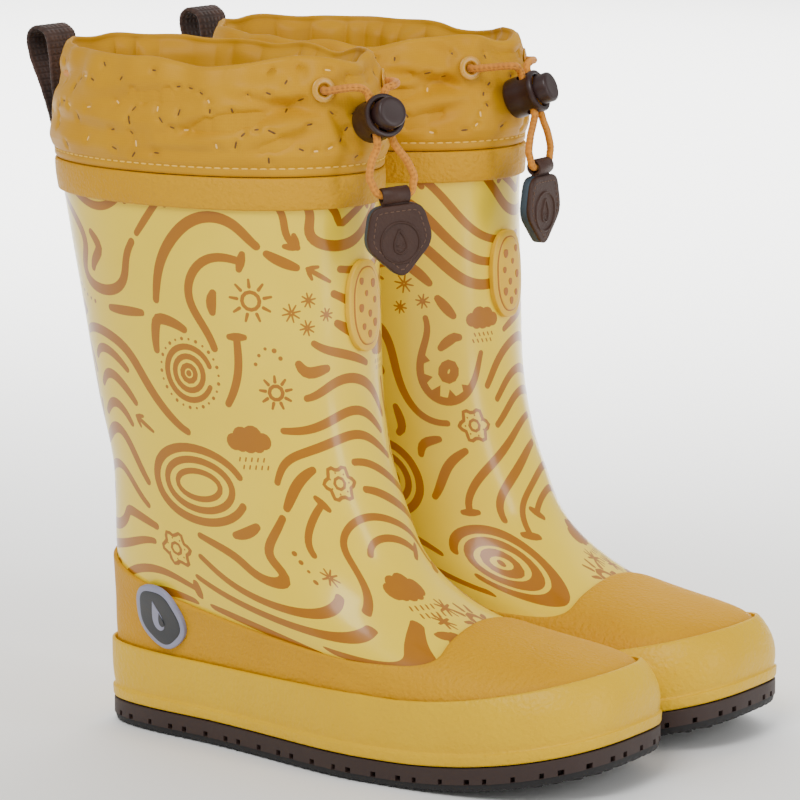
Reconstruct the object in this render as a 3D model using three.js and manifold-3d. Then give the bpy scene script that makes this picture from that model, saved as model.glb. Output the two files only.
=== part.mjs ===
// A pair of children's rubber rain boots with a gathered fabric cuff, a drawcord and a cord lock.
// Millimetres, +Z up, toes towards +X. One boot is described in its own frame: the back of the
// outsole at x = 0, the ground at z = 0 and its outer side towards -Y. The left boot mirrors it.
import * as THREE from "three";
import { mergeVertices } from "three/addons/utils/BufferGeometryUtils.js";
import Module from "manifold-3d";

// Driving dimensions
const SOLE_LENGTH = 198;
const BALL_WIDTH = 77;
const HEEL_WIDTH = 55;
const TOE_SKEW = 5; // how far the toe leans towards the inner side
const TOE_SPRING = 10; // rise of the toe over the last part of the sole
const SPRING_START = 126; // where that rise begins
const SHAFT_TOP = 192;
const TOP_LENGTH = 117; // rubber shaft at its top edge, front to back
const TOP_WIDTH = 79.5;
const ANKLE_WIDTH = 71;
const PAIR_SPACING = 85; // between the middle planes of the two boots

// Rubber and lining
const GAP = 0.35; // between pieces that touch
const SHAFT_WALL = 1.8;
const LINING_WALL = 1.4;
const OVERLAY_WALL = 1.1;
const FOXING_WALL = 2.3;
const OUTSOLE_THICKNESS = 8;
const MIDSOLE_THICKNESS = 2.6;
const INSOLE_THICKNESS = 3.5;
const FOXING_HEEL_TOP = 29;
const FOXING_SIDE_TOP = 28;
const FOXING_TOE_TOP = 28.5;
const RIB_HEIGHT = 4; // thicker foot of the foxing
const RIB_STEP = 0.6;
const OVERLAY_HEEL_TOP = 61;
const OVERLAY_SIDE_TOP = 38.5;
const OVERLAY_FRONT_TOP = 47;
const BAND_HEIGHT = 10.5;
const BAND_WALL = 1.2;
const BACK_STRIP_WIDTH = 7;
const BACK_SEAM_WIDTH = 3;

// Fabric cuff
const CUFF_HEIGHT = 38.5;
const CUFF_WALL = 1.1;
const CUFF_BULGE = 1.9;
const CUFF_GATHER = 3.6; // how far the drawn top edge leans in
const CUFF_TUCK = 10; // the hem sewn down inside the shaft
const CHANNEL_BELOW_TOP = 10.5; // the drawcord's level
const FACING_DROP = 28; // depth of the turned-in facing

// Drawcord, lock and tag
const CORD = 2.5;
const EYELET_SPACING = 34;
const EYELET_BORE = 4;
const EYELET_FLANGE = 7.6;
const LOCK_DIAMETER = 14;
const LOCK_LENGTH = 11.5;
const LOCK_TILT = 20; // degrees, button end up
const LOCK_STAND_OFF = 12; // lock centre in front of the shaft
const LOCK_BELOW_CUFF_TOP = 19.5;
const BUTTON_DIAMETER = 10.2;
const BUTTON_REACH = 3.2; // the button stands out this far
const BUTTON_TRAVEL = 2;
const SPRING_WIRE = 0.7;
const STRAND_SPACING = 5.6; // between the two cord bores
const LOOP_DROP = 18;
const LOOP_HALF_WIDTH = 7.6;
const TAG_WIDTH = 23.8;
const TAG_HEIGHT = 25.7;
const TAG_LEATHER = 1.2;
const STRAP_WIDTH = 9.4;
const STRAP_LEATHER = 1;
const RIGHT_LOCK = { yaw: -35, aside: -8 }; // each boot's lock hangs turned and shifted a little
const LEFT_LOCK = { yaw: -4, aside: 5 }; // degrees, and millimetres towards the inner side

// Pull loop and badges
const LOOP_WEBBING_WIDTH = 15;
const LOOP_WEBBING = 1.4;
const PULL_LOOP_TOP = 37; // above the shaft's top edge
const PULL_LOOP_REACH = 13; // behind the cuff
const HEEL_BADGE = [19, 21.5]; // width and height
const HEEL_BADGE_SHARE = 0.128; // its place round the boot, from the back
const SHIN_BADGE = [19, 30];
const SHIN_BADGE_DROP = 46; // its middle below the shaft's top edge
const BADGE_WALL = 1.2;

// Mesh fineness
const COLUMNS = 26; // around each boot, closer together at the toe and heel
const CORD_SIDES = 8;

const wasm = await Module();
wasm.setup();

const smooth = (x, from, to) => THREE.MathUtils.smoothstep(x, from, to);
const lerp = THREE.MathUtils.lerp;
const radians = THREE.MathUtils.degToRad;

// The boot's form is a stack of level outlines. Each runs from a point on the back to a point on the
// front in the middle plane: along the toe and instep low down, around the leg higher up.
const x0 = SOLE_LENGTH / 200;
const ANKLE = 64;
const legZ = (share) => ANKLE + share * (SHAFT_TOP - ANKLE);
const footWall = OVERLAY_WALL + FOXING_WALL + 2 * GAP; // from the form out to the foxing's face
const heel = HEEL_WIDTH / 2 - footWall;
const ball = BALL_WIDTH / 2 - footWall;
const ankle = ANKLE_WIDTH / 2;
const top = TOP_WIDTH / 2;
const toeX = SOLE_LENGTH - footWall;
const backAt = (share) => lerp(1, 96 * x0 - TOP_LENGTH, share);
const legHalf = (share) => lerp(ankle, top, share);
const cuffTop = SHAFT_TOP + CUFF_HEIGHT;
const FORM = [
  // back x, z; front x, z; half width at heel, ball; widest at x; roundness of back, front
  [footWall, 8, toeX, 8, heel, ball, 140 * x0, 5, 3],
  [footWall - 1, 18, toeX + 0.7, 18, heel + 1, ball + 0.3, 140 * x0, 4.8, 2.9],
  [footWall - 1.2, 25, toeX - 1.5, 25.5, heel + 2, ball, 137 * x0, 4.6, 2.7],
  [footWall - 1.3, 30, toeX - 5.5, 31, heel + 3, ball - 0.5, 131 * x0, 4.4, 2.5],
  [footWall - 1.3, 34.5, toeX - 13, 35, heel + 4, ball - 1, 120 * x0, 4.2, 2.4],
  [footWall - 1.3, 39, 170 * x0, 39, heel + 5, ball - 1, 105 * x0, 3.9, 2.3],
  [footWall - 1.3, 43.5, 151 * x0, 44, heel + 6.5, ball - 0.8, 90 * x0, 3.5, 2.2],
  [footWall - 1.4, 49, 137 * x0, 49.5, ankle - 3.5, ankle - 1.2, 76 * x0, 3.1, 2.15],
  [footWall - 1.6, 56, 125 * x0, 56.5, ankle - 1.8, ankle - 0.8, 65 * x0, 2.8, 2.1],
  [footWall - 2.2, ANKLE, 115.5 * x0, ANKLE + 1, ankle - 0.8, ankle - 0.4, 58 * x0, 2.6, 2.1],
  [footWall - 2.8, legZ(0.11), 108.5 * x0, legZ(0.11), ankle, ankle, 54 * x0, 2.4, 2.1],
  [footWall - 4, legZ(0.22), 102.4 * x0, legZ(0.22), ankle + 0.5, ankle + 0.5, 51 * x0, 2.3, 2.1],
  [backAt(0.3), legZ(0.38), 97.6 * x0, legZ(0.38), legHalf(0.32), legHalf(0.45), 47 * x0, 2.2, 2.1],
  [backAt(0.6), legZ(0.62), 96 * x0, legZ(0.62), legHalf(0.62), legHalf(0.9), 43 * x0, 2.1, 2.1],
  [backAt(0.85), legZ(0.84), 95.2 * x0, legZ(0.84), legHalf(0.86), top, 40 * x0, 2.1, 2.1],
  [backAt(1), SHAFT_TOP, 96 * x0, SHAFT_TOP, top, top, 38 * x0, 2.1, 2.1],
  [backAt(1) + 0.5, cuffTop, 95.5 * x0, cuffTop, top, top, 38 * x0, 2.1, 2.1],
];
const LEVEL = 1; // the column of FORM that names a row's height

// Every column of FORM at one height, by cubic interpolation between its rows.
function formAt(height) {
  const last = FORM.length - 1;
  let row = FORM.findIndex((r) => r[LEVEL] > height) - 1;
  if (row < 0) row = height < FORM[0][LEVEL] ? 0 : last - 1;
  const [a, b] = [FORM[row], FORM[row + 1]];
  const before = FORM[Math.max(row - 1, 0)];
  const after = FORM[Math.min(row + 2, last)];
  const span = b[LEVEL] - a[LEVEL];
  const u = (height - a[LEVEL]) / span;
  return a.map((start, i) => {
    const end = b[i];
    const slopeA = ((end - before[i]) / (b[LEVEL] - before[LEVEL])) * span;
    const slopeB = ((after[i] - start) / (after[LEVEL] - a[LEVEL])) * span;
    if (u <= 0 || u >= 1) return u <= 0 ? start + slopeA * u : end + slopeB * (u - 1);
    const [u2, u3] = [u * u, u * u * u];
    return (2 * u3 - 3 * u2 + 1) * start + (u3 - 2 * u2 + u) * slopeA
      + (3 * u2 - 2 * u3) * end + (u3 - u2) * slopeB;
  });
}

// One side of the outline at a height, from the back to the front, with the length up to each point.
const OUTLINE_STEPS = 28;
const outlines = new Map();
function outline(height, side) {
  const key = height + "/" + side;
  if (outlines.has(key)) return outlines.get(key);
  const [backX, backZ, frontX, frontZ, wHeel, wBall, wideX, roundBack, roundFront] = formAt(height);
  const points = [];
  const lengths = [0];
  for (let k = 0; k <= 2 * OUTLINE_STEPS; k++) {
    const behind = k <= OUTLINE_STEPS;
    const turn = ((behind ? k : 2 * OUTLINE_STEPS - k) / OUTLINE_STEPS) * (Math.PI / 2);
    const power = 2 / (behind ? roundBack : roundFront);
    const x = wideX + ((behind ? backX : frontX) - wideX) * Math.cos(turn) ** power;
    const width = lerp(wHeel, wBall, smooth(x, 0.2 * SOLE_LENGTH, 0.65 * SOLE_LENGTH));
    const skew = TOE_SKEW * smooth(x, 0.5 * SOLE_LENGTH, SOLE_LENGTH);
    const z = lerp(backZ, frontZ, (x - backX) / (frontX - backX));
    points.push(new THREE.Vector3(x, side * width * Math.sin(turn) ** power + skew, z));
    if (k) lengths.push(lengths[k - 1] + points[k].distanceTo(points[k - 1]));
  }
  outlines.set(key, { points, lengths });
  return outlines.get(key);
}

// A point of the form: share 0 is the back, 0.25 the outer side, 0.5 the front, 0.75 the inner side.
function formPoint(share, height) {
  const around = share - Math.floor(share);
  const { points, lengths } = outline(height, around < 0.5 ? -1 : 1);
  const target = (1 - Math.abs(1 - 2 * around)) * lengths.at(-1);
  const k = Math.max(1, lengths.findIndex((length) => length >= target));
  const u = (target - lengths[k - 1]) / (lengths[k] - lengths[k - 1]);
  return points[k - 1].clone().lerp(points[k], u);
}

const spring = (x) => TOE_SPRING * Math.max(0, (x - SPRING_START) / (SOLE_LENGTH - SPRING_START)) ** 2;

// A point at a distance out from the form. "level" keeps the point at its own height.
function skin(share, height, out, level = false) {
  const along = formPoint(share + 0.004, height).sub(formPoint(share - 0.004, height));
  const up = formPoint(share, height + 0.5).sub(formPoint(share, height - 0.5));
  const normal = along.cross(up);
  if (level) normal.z = 0;
  const p = formPoint(share, height).addScaledVector(normal.normalize(), out);
  if (level) p.z = height;
  p.z += spring(p.x);
  return p;
}

const columnShare = (i) => i / COLUMNS - 0.03 * Math.sin((4 * Math.PI * i) / COLUMNS);
const ring = (at) => Array.from({ length: COLUMNS }, (_, i) => at(columnShare(i)));

// A closed solid from rows of points that all run the same way round. The rows either join up into
// a tube, or end in two lids laid across from each point to its mirror.
function rowsToGeometry(rows, joined) {
  const n = rows[0].length;
  const faces = [];
  const points = rows.flat();
  const id = (row, i) => (row % rows.length) * n + (i % n);
  for (let row = 0; row < rows.length - (joined ? 0 : 1); row++)
    for (let i = 0; i < n; i++) {
      const [a, b, c, d] = [id(row, i), id(row, i + 1), id(row + 1, i + 1), id(row + 1, i)];
      const rising = points[a].z <= points[d].z; // the same diagonal in every layer
      faces.push(...(rising ? [a, b, c, a, c, d] : [a, b, d, b, c, d]));
    }
  const lid = (row, flip) => {
    for (let i = 0; i < n / 2; i++) {
      const [a, b, c, d] = [id(row, i), id(row, i + 1), id(row, n - i - 1), id(row, n - i)];
      if (i + 1 < n / 2) faces.push(...(flip ? [a, b, c] : [a, c, b]));
      if (i > 0) faces.push(...(flip ? [a, c, d] : [a, d, c]));
    }
  };
  if (!joined) {
    lid(0, false);
    lid(rows.length - 1, true);
  }
  let volume = 0;
  const cross = new THREE.Vector3();
  for (let i = 0; i < faces.length; i += 3)
    volume += points[faces[i]].dot(cross.crossVectors(points[faces[i + 1]], points[faces[i + 2]]));
  if (volume < 0)
    for (let i = 0; i < faces.length; i += 3)
      [faces[i + 1], faces[i + 2]] = [faces[i + 2], faces[i + 1]];
  const geometry = new THREE.BufferGeometry().setFromPoints(points);
  geometry.setIndex(faces);
  return geometry;
}

function toSolid(geometry) {
  const g = geometry.clone();
  g.deleteAttribute("normal");
  g.deleteAttribute("uv");
  const merged = mergeVertices(g, 1e-4);
  return new wasm.Manifold(new wasm.Mesh({
    numProp: 3,
    vertProperties: new Float32Array(merged.attributes.position.array),
    triVerts: new Uint32Array(merged.index.array),
  }));
}

function fromSolid(solid) {
  const mesh = solid.getMesh();
  const geometry = new THREE.BufferGeometry();
  geometry.setAttribute("position", new THREE.Float32BufferAttribute(mesh.vertProperties, 3));
  geometry.setIndex(Array.from(mesh.triVerts));
  return geometry;
}

const cut = (geometry, ...tools) =>
  fromSolid(tools.reduce((solid, tool) => solid.subtract(toSolid(tool)), toSolid(geometry)));

function tube(points, diameter, steps, count = CORD_SIDES) {
  const sides = Array.from({ length: count }, (_, i) => (i / count) * 2 * Math.PI);
  const section = new THREE.Shape(
    sides.map((a) => new THREE.Vector2(Math.cos(a), Math.sin(a)).multiplyScalar(diameter / 2)),
  );
  const extrudePath = new THREE.CatmullRomCurve3(points);
  return new THREE.ExtrudeGeometry(section, { steps, bevelEnabled: false, extrudePath });
}

// Foot: the pieces under and around the foot
const soleRow = (height, out) => ring((share) => skin(share, height, out, true));

function outsoleGeometry() {
  const edge = OUTSOLE_THICKNESS;
  const at = (z, out) => soleRow(edge, out).map((p) => p.setZ(z + spring(p.x)));
  return rowsToGeometry([at(0, footWall - 0.9), at(1.4, footWall), at(edge, footWall)], false);
}

const midsoleBottom = OUTSOLE_THICKNESS + GAP;
const shaftBottom = midsoleBottom + MIDSOLE_THICKNESS + GAP;
const liningBottom = shaftBottom + SHAFT_WALL + GAP;
const insoleBottom = liningBottom + LINING_WALL + GAP;
const liningOut = -SHAFT_WALL - GAP;
const insoleOut = liningOut - LINING_WALL - 0.5;
const foxingIn = OVERLAY_WALL + 2 * GAP + 0.1;
const EDGE_ROUND = 3; // how far the shaft and lining turn in under the foot

function midsoleGeometry() {
  const edge = (rise) => soleRow(midsoleBottom + rise, foxingIn - 0.5);
  return rowsToGeometry([edge(0), edge(MIDSOLE_THICKNESS)], false);
}

function insoleGeometry() {
  const under = soleRow(insoleBottom, insoleOut - EDGE_ROUND);
  const side = soleRow(insoleBottom + 2.2, insoleOut);
  return rowsToGeometry([under, side, soleRow(insoleBottom + INSOLE_THICKNESS, insoleOut)], false);
}

// Height of the foxing's and the overlay's top edge around the boot.
function foxingTop(share) {
  const fromBack = 1 - Math.abs(1 - 2 * share);
  return lerp(FOXING_HEEL_TOP, FOXING_SIDE_TOP, smooth(fromBack, 0, 0.45))
    + (FOXING_TOE_TOP - FOXING_SIDE_TOP) * smooth(fromBack, 0.62, 1);
}
function overlayTop(share) {
  const fromBack = 1 - Math.abs(1 - 2 * share);
  return lerp(OVERLAY_HEEL_TOP, OVERLAY_SIDE_TOP, smooth(fromBack, 0, 0.66))
    + (OVERLAY_FRONT_TOP - OVERLAY_SIDE_TOP) * smooth(fromBack, 0.72, 1);
}

// Every layer of the upper has its rows at the same heights, which follow the trim lines, so the
// facets of one layer lie parallel to those of the next.
const sideStart = OUTSOLE_THICKNESS + RIB_HEIGHT + 1.5;
const liningTop = SHAFT_TOP - CUFF_TUCK - 1;
const between = (from, to, ...shares) =>
  shares.map((u) => (share) => lerp(from(share), to(share), u));
const lowRows = between(() => sideStart, foxingTop, 0.4, 0.75, 1);
const overlayRows = between(foxingTop, overlayTop, 0.5, 1);
const legRows = between(overlayTop, () => liningTop, 0.12, 0.28, 0.5, 0.75, 1);
const startRow = () => sideStart;
const rowsAt = (heights, out) => heights.map((height) => ring((share) => skin(share, height(share), out)));

function foxingGeometry() {
  const rib = OUTSOLE_THICKNESS + RIB_HEIGHT;
  const face = footWall - RIB_STEP;
  const edge = (drop, out) => ring((share) => skin(share, foxingTop(share) - drop, out));
  return rowsToGeometry([
    soleRow(midsoleBottom, footWall), soleRow(rib, footWall),
    ...rowsAt([startRow, ...lowRows.slice(0, -1)], face), edge(0.9, face), edge(0, face - 0.7),
    ...rowsAt([startRow, ...lowRows], foxingIn).toReversed(), soleRow(midsoleBottom, foxingIn),
  ], true);
}

function overlayGeometry() {
  const heights = [startRow, ...lowRows, ...overlayRows];
  return rowsToGeometry([
    ...rowsAt(heights, GAP + OVERLAY_WALL), ...rowsAt(heights, GAP + 0.05).toReversed()], true);
}

// Leg: a cup of rubber and a cup of lining inside it
function cupGeometry(bottom, out, wall, heights) {
  return rowsToGeometry([
    soleRow(bottom, out - EDGE_ROUND), soleRow(bottom + 2.2, out), ...rowsAt(heights, out),
    ...rowsAt(heights, out - wall).toReversed(),
    soleRow(bottom + wall + 2.2, out - wall), soleRow(bottom + wall, out - wall - EDGE_ROUND),
  ], false);
}
const upperRows = [...lowRows, ...overlayRows, ...legRows];
const shaftGeometry = () => cupGeometry(shaftBottom, 0, SHAFT_WALL, [...upperRows, () => SHAFT_TOP]);
const liningGeometry = () => cupGeometry(liningBottom, liningOut, LINING_WALL, upperRows);

function topBandGeometry() {
  const row = (drop, out) => ring((share) => skin(share, SHAFT_TOP - drop, out));
  return rowsToGeometry([
    row(BAND_HEIGHT, GAP), row(BAND_HEIGHT, GAP + BAND_WALL), row(0, GAP + BAND_WALL), row(0, GAP)], true);
}

// A thin patch that follows the form, inside a closed outline of [share, height] points.
function patchGeometry(points, out, wall) {
  const centre = [0, 1].map((k) => points.reduce((sum, p) => sum + p[k], 0) / points.length);
  const row = (size, offset) => points.map(([share, height]) =>
    skin(lerp(centre[0], share, size), lerp(centre[1], height, size), offset));
  const rings = [1, 0.65, 0.3];
  const under = rings.map((size) => row(size, out)).toReversed();
  return rowsToGeometry([...under, ...rings.map((size) => row(size, out + wall))], false);
}
const girth = (height) => outline(height, -1).lengths.at(-1) + outline(height, 1).lengths.at(-1);

const heelBadgeHeight = FOXING_HEEL_TOP + HEEL_BADGE[1] / 2 + 1.6;

// An upright strip on the back seam, as wide at every height.
function backStripGeometry(low, high, width, out, wall) {
  const steps = 9;
  const section = [[-1, 0], [0, 0], [1, 0], [1, wall], [0, wall], [-1, wall]];
  const rows = Array.from({ length: steps }, (_, i) => {
    const height = lerp(low, high, i / (steps - 1));
    const halfShare = width / 2 / girth(height);
    return section.map(([side, rise]) => skin(side * halfShare, height, out + rise));
  });
  return rowsToGeometry(rows, false);
}

function badgeGeometry(share, height, [width, tall], roundness, out) {
  const count = 20;
  const corner = (i) => {
    const turn = (i / count) * 2 * Math.PI;
    const bow = (v) => Math.sign(v) * Math.abs(v) ** (2 / roundness);
    const aside = (bow(Math.sin(turn)) * width) / 2;
    return [share + aside / girth(height), height - (bow(Math.cos(turn)) * tall) / 2];
  };
  return patchGeometry(Array.from({ length: count }, (_, i) => corner(i)), out, BADGE_WALL);
}

// Cuff: one layer of fabric turned over at the top, open below the facing.
// Each point is a distance out from the form and a height above the shaft's top edge.
const channelLevel = CUFF_HEIGHT - CHANNEL_BELOW_TOP;
const topOut = -CUFF_GATHER;
const eyeletOut = (CUFF_BULGE + topOut) / 2 + 1.6; // outer face at the drawcord's level
const cordOut = eyeletOut - CUFF_WALL - CORD / 2 - 0.9;
const facingOut = cordOut - CORD / 2 - 0.5;
function cuffGeometry() {
  const hem = liningOut - 0.15;
  const section = [
    [hem, -CUFF_TUCK], [hem, GAP], [0.8, GAP], [CUFF_BULGE - 0.6, 5], [CUFF_BULGE, 0.42 * channelLevel],
    [eyeletOut + 0.7, channelLevel - 6], [eyeletOut - 0.7, channelLevel + 5], [topOut, CUFF_HEIGHT],
    [facingOut - CUFF_WALL, channelLevel + 5], [facingOut - CUFF_WALL, CUFF_HEIGHT - FACING_DROP],
    [facingOut, CUFF_HEIGHT - FACING_DROP], [facingOut, channelLevel + 3.5],
    [topOut - 0.1, CUFF_HEIGHT - 2.2], [eyeletOut - 0.5 - CUFF_WALL, channelLevel + 4],
    [eyeletOut + 0.7 - CUFF_WALL, channelLevel - 6], [CUFF_BULGE - CUFF_WALL, 0.42 * channelLevel],
    [CUFF_BULGE - 0.7 - CUFF_WALL, 5.5], [-0.2, GAP + CUFF_WALL], [hem - CUFF_WALL, GAP + 0.9],
    [hem - CUFF_WALL, -CUFF_TUCK],
  ];
  const rows = section.map(([out, rise]) => soleRow(SHAFT_TOP + rise, out));
  return cut(rowsToGeometry(rows, true), ...eyeletShares.map((share) => {
    const hole = new THREE.CylinderGeometry(EYELET_BORE / 2 + 1.1, EYELET_BORE / 2 + 1.1, 6, 16);
    return hole.applyMatrix4(eyeletFrame(share, eyeletOut + 1.2));
  }));
}

// Eyelets: a flange outside and a short barrel through the outer layer
const eyeletHeight = SHAFT_TOP + channelLevel;
const eyeletShare = EYELET_SPACING / 2 / girth(eyeletHeight);
const eyeletShares = [0.5 - eyeletShare, 0.5 + eyeletShare];
const slope = Math.atan2(1.4, 11); // the cuff's lean at the drawcord

// A frame on the cuff at an eyelet, its Y axis square to the leaning fabric and pointing out.
function eyeletFrame(share, out) {
  const face = skin(share, eyeletHeight, out, true);
  const outward = skin(share, eyeletHeight, out + 1, true).sub(face).setZ(Math.tan(slope)).normalize();
  const turn = new THREE.Quaternion().setFromUnitVectors(new THREE.Vector3(0, 1, 0), outward);
  return new THREE.Matrix4().compose(face, turn, new THREE.Vector3(1, 1, 1));
}

function eyeletGeometry(share) {
  const [bore, barrel, flange] = [EYELET_BORE / 2, EYELET_BORE / 2 + 0.7, EYELET_FLANGE / 2];
  const profile = [[bore, -1], [barrel, -1], [barrel, 0.5], [flange, 0.5], [bore + 1, 1.4], [bore, 1.2]];
  const points = [...profile, profile[0]].map(([r, y]) => new THREE.Vector2(r, y));
  return new THREE.LatheGeometry(points, 12).applyMatrix4(eyeletFrame(share, eyeletOut));
}

// The cord lies in the channel round the back, and stops short of the eyelets.
const cordStop = 7 / girth(eyeletHeight);
function drawcordGeometry() {
  const count = 30;
  const [from, to] = [eyeletShares[0] - cordStop, eyeletShares[1] - 1 + cordStop];
  const shares = Array.from({ length: count }, (_, i) => lerp(from, to, i / (count - 1)));
  return tube(shares.map((share) => skin(share, eyeletHeight, cordOut, true)), CORD, 32);
}

// Cord lock. Local axes: +X along the button, +Z up through the cord bores.
const lockMouth = 5;
const lockRear = lockMouth - LOCK_LENGTH;
const lockFloor = 1.3;
const slotWall = 1.25; // the button's end below its cord slot
const boreX = lockMouth - BUTTON_TRAVEL - CORD / 2 - 0.35;
const buttonEnd = boreX - CORD / 2 - 0.4 - slotWall;
const strandY = STRAND_SPACING / 2;
const boreHalf = LOCK_DIAMETER / 2 + 0.3;

function lockMatrix({ yaw, aside }) {
  const centre = formPoint(0.5, cuffTop - LOCK_BELOW_CUFF_TOP);
  centre.x += LOCK_STAND_OFF;
  centre.y += aside;
  const turn = new THREE.Euler(0, radians(-LOCK_TILT), radians(yaw), "ZYX");
  return new THREE.Matrix4().makeRotationFromEuler(turn).setPosition(centre);
}

// A rod along local X between two places.
function rod(diameter, from, to, sides = 20) {
  const g = new THREE.CylinderGeometry(diameter / 2, diameter / 2, to - from, sides);
  return g.rotateZ(-Math.PI / 2).translate((from + to) / 2, 0, 0);
}
const strandHole = (y, length) => new THREE.CylinderGeometry(CORD / 2 + 0.4, CORD / 2 + 0.4, length, 12)
  .rotateX(Math.PI / 2).translate(boreX, y, 0);

function lockBodyGeometry() {
  const bore = rod(BUTTON_DIAMETER + 0.3, lockRear + lockFloor, lockMouth + 1);
  const holes = [-strandY, strandY].map((y) => strandHole(y, LOCK_DIAMETER + 2));
  return cut(rod(LOCK_DIAMETER, lockRear, lockMouth, 24), bore, ...holes);
}

function lockButtonGeometry() {
  const [long, wide] = [CORD + 0.8 + BUTTON_TRAVEL, STRAND_SPACING + CORD + 0.8];
  const slot = new THREE.BoxGeometry(long, wide, BUTTON_DIAMETER + 2);
  slot.translate(boreX + BUTTON_TRAVEL / 2, 0, 0);
  const head = rod(BUTTON_DIAMETER, buttonEnd, lockMouth + BUTTON_REACH);
  return cut(head, slot);
}

function lockSpringGeometry() {
  const [from, to, turns, radius] = [lockRear + lockFloor + 0.65, buttonEnd - 0.65, 2, 3.1];
  const points = Array.from({ length: turns * 8 + 1 }, (_, i) => {
    const angle = (i / 8) * 2 * Math.PI;
    const x = lerp(from, to, i / (turns * 8));
    return new THREE.Vector3(x, radius * Math.cos(angle), radius * Math.sin(angle));
  });
  return tube(points, SPRING_WIRE, turns * 9, 5);
}

// The cord from an eyelet to the lock, and the loop that runs through the lock and hangs below it.
function cordEndGeometry(side, matrix) {
  const share = side < 0 ? eyeletShares[0] : eyeletShares[1];
  const inChannel = (back) => skin(share + side * (cordStop * back), eyeletHeight, cordOut, true);
  const at = (out) => skin(share, eyeletHeight, eyeletOut + out, true);
  const entry = (rise) => new THREE.Vector3(boreX, side * strandY, boreHalf + rise).applyMatrix4(matrix);
  return tube([
    inChannel(0.95), inChannel(0.45), at(-1.3), at(0.6), at(3.2), entry(5), entry(2), entry(0.3),
  ], CORD, 12);
}

function loopRoute(matrix, yaw) {
  const across = new THREE.Vector3(-Math.sin(radians(yaw)), Math.cos(radians(yaw)), 0);
  const exit = new THREE.Vector3(boreX, 0, -boreHalf).applyMatrix4(matrix);
  const at = (side, width, drop) => exit.clone().addScaledVector(across, side * width).setZ(exit.z - drop);
  const inside = (side, z) => new THREE.Vector3(boreX, side * strandY, z).applyMatrix4(matrix);
  const half = (side) => [
    inside(side, boreHalf), inside(side, 0), inside(side, -boreHalf),
    at(side, strandY + 0.5, 2.5), at(side, LOOP_HALF_WIDTH - 1.6, 7), at(side, LOOP_HALF_WIDTH, 12.5),
    at(side, LOOP_HALF_WIDTH - 0.5, LOOP_DROP - 4), at(side, LOOP_HALF_WIDTH - 1.4, LOOP_DROP - 1.4),
    at(side, LOOP_HALF_WIDTH - 2.8, LOOP_DROP - 0.2), at(side, LOOP_HALF_WIDTH - 5.4, LOOP_DROP),
  ];
  return [...half(-1), ...half(1).toReversed()];
}

function tagMatrix(matrix, yaw) {
  const hold = new THREE.Vector3(boreX, 0, -boreHalf).applyMatrix4(matrix);
  hold.z -= LOOP_DROP;
  return new THREE.Matrix4().makeRotationZ(radians(yaw)).setPosition(hold);
}

// Tag. Local axes: +X out of its face, +Y across it, with the loop's cord through its origin.
const tagTop = -3;
const eyeSteps = 8; // per turn of the strap's eye
function tagPlateGeometry(face, wall) {
  const [shoulder, wide, tip] = [0.37 * TAG_WIDTH, TAG_WIDTH / 2, tagTop - TAG_HEIGHT];
  const corners = [[-shoulder, tagTop], [-wide, tagTop - 0.57 * TAG_HEIGHT], [0, tip],
    [wide, tagTop - 0.57 * TAG_HEIGHT], [shoulder, tagTop]].map(([y, z]) => new THREE.Vector2(y, z));
  const shape = roundedShape(corners, 2.6);
  const plate = new THREE.ExtrudeGeometry(shape, { depth: wall, bevelEnabled: false, curveSegments: 3 });
  return uprightPlate(plate).translate(face, 0, 0);
}

// A closed outline with each corner cut by a curve that starts "round" before it.
function roundedShape(corners, round) {
  const shape = new THREE.Shape();
  corners.forEach((corner, i) => {
    const before = corners.at(i - 1).clone().sub(corner).setLength(round).add(corner);
    const after = corners[(i + 1) % corners.length].clone().sub(corner).setLength(round).add(corner);
    if (i) shape.lineTo(before.x, before.y);
    else shape.moveTo(before.x, before.y);
    shape.quadraticCurveTo(corner.x, corner.y, after.x, after.y);
  });
  shape.closePath();
  return shape;
}

// Turns a plate drawn in X and Y, and as thick as Z, to lie in Y and Z and be as thick as X.
const uprightPlate = (geometry) => geometry.rotateX(Math.PI / 2).rotateZ(Math.PI / 2);

function tagStrapGeometry() {
  const inner = CORD / 2 + 0.6;
  const outer = inner + STRAP_LEATHER;
  const stem = STRAP_LEATHER / 2;
  const shape = new THREE.Shape();
  const neck = Math.asin(stem / outer);
  shape.moveTo(-stem, tagTop - 6);
  shape.lineTo(stem, tagTop - 6);
  shape.absarc(0, 0, outer, -Math.PI / 2 + neck, 1.5 * Math.PI - neck, false);
  shape.closePath();
  shape.holes.push(new THREE.Path().absarc(0, 0, inner, 0, 2 * Math.PI, true));
  const strap = new THREE.ExtrudeGeometry(shape, {
    depth: STRAP_WIDTH, bevelEnabled: false, curveSegments: eyeSteps,
  });
  return strap.rotateX(Math.PI / 2).translate(0, STRAP_WIDTH / 2, 0);
}

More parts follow.
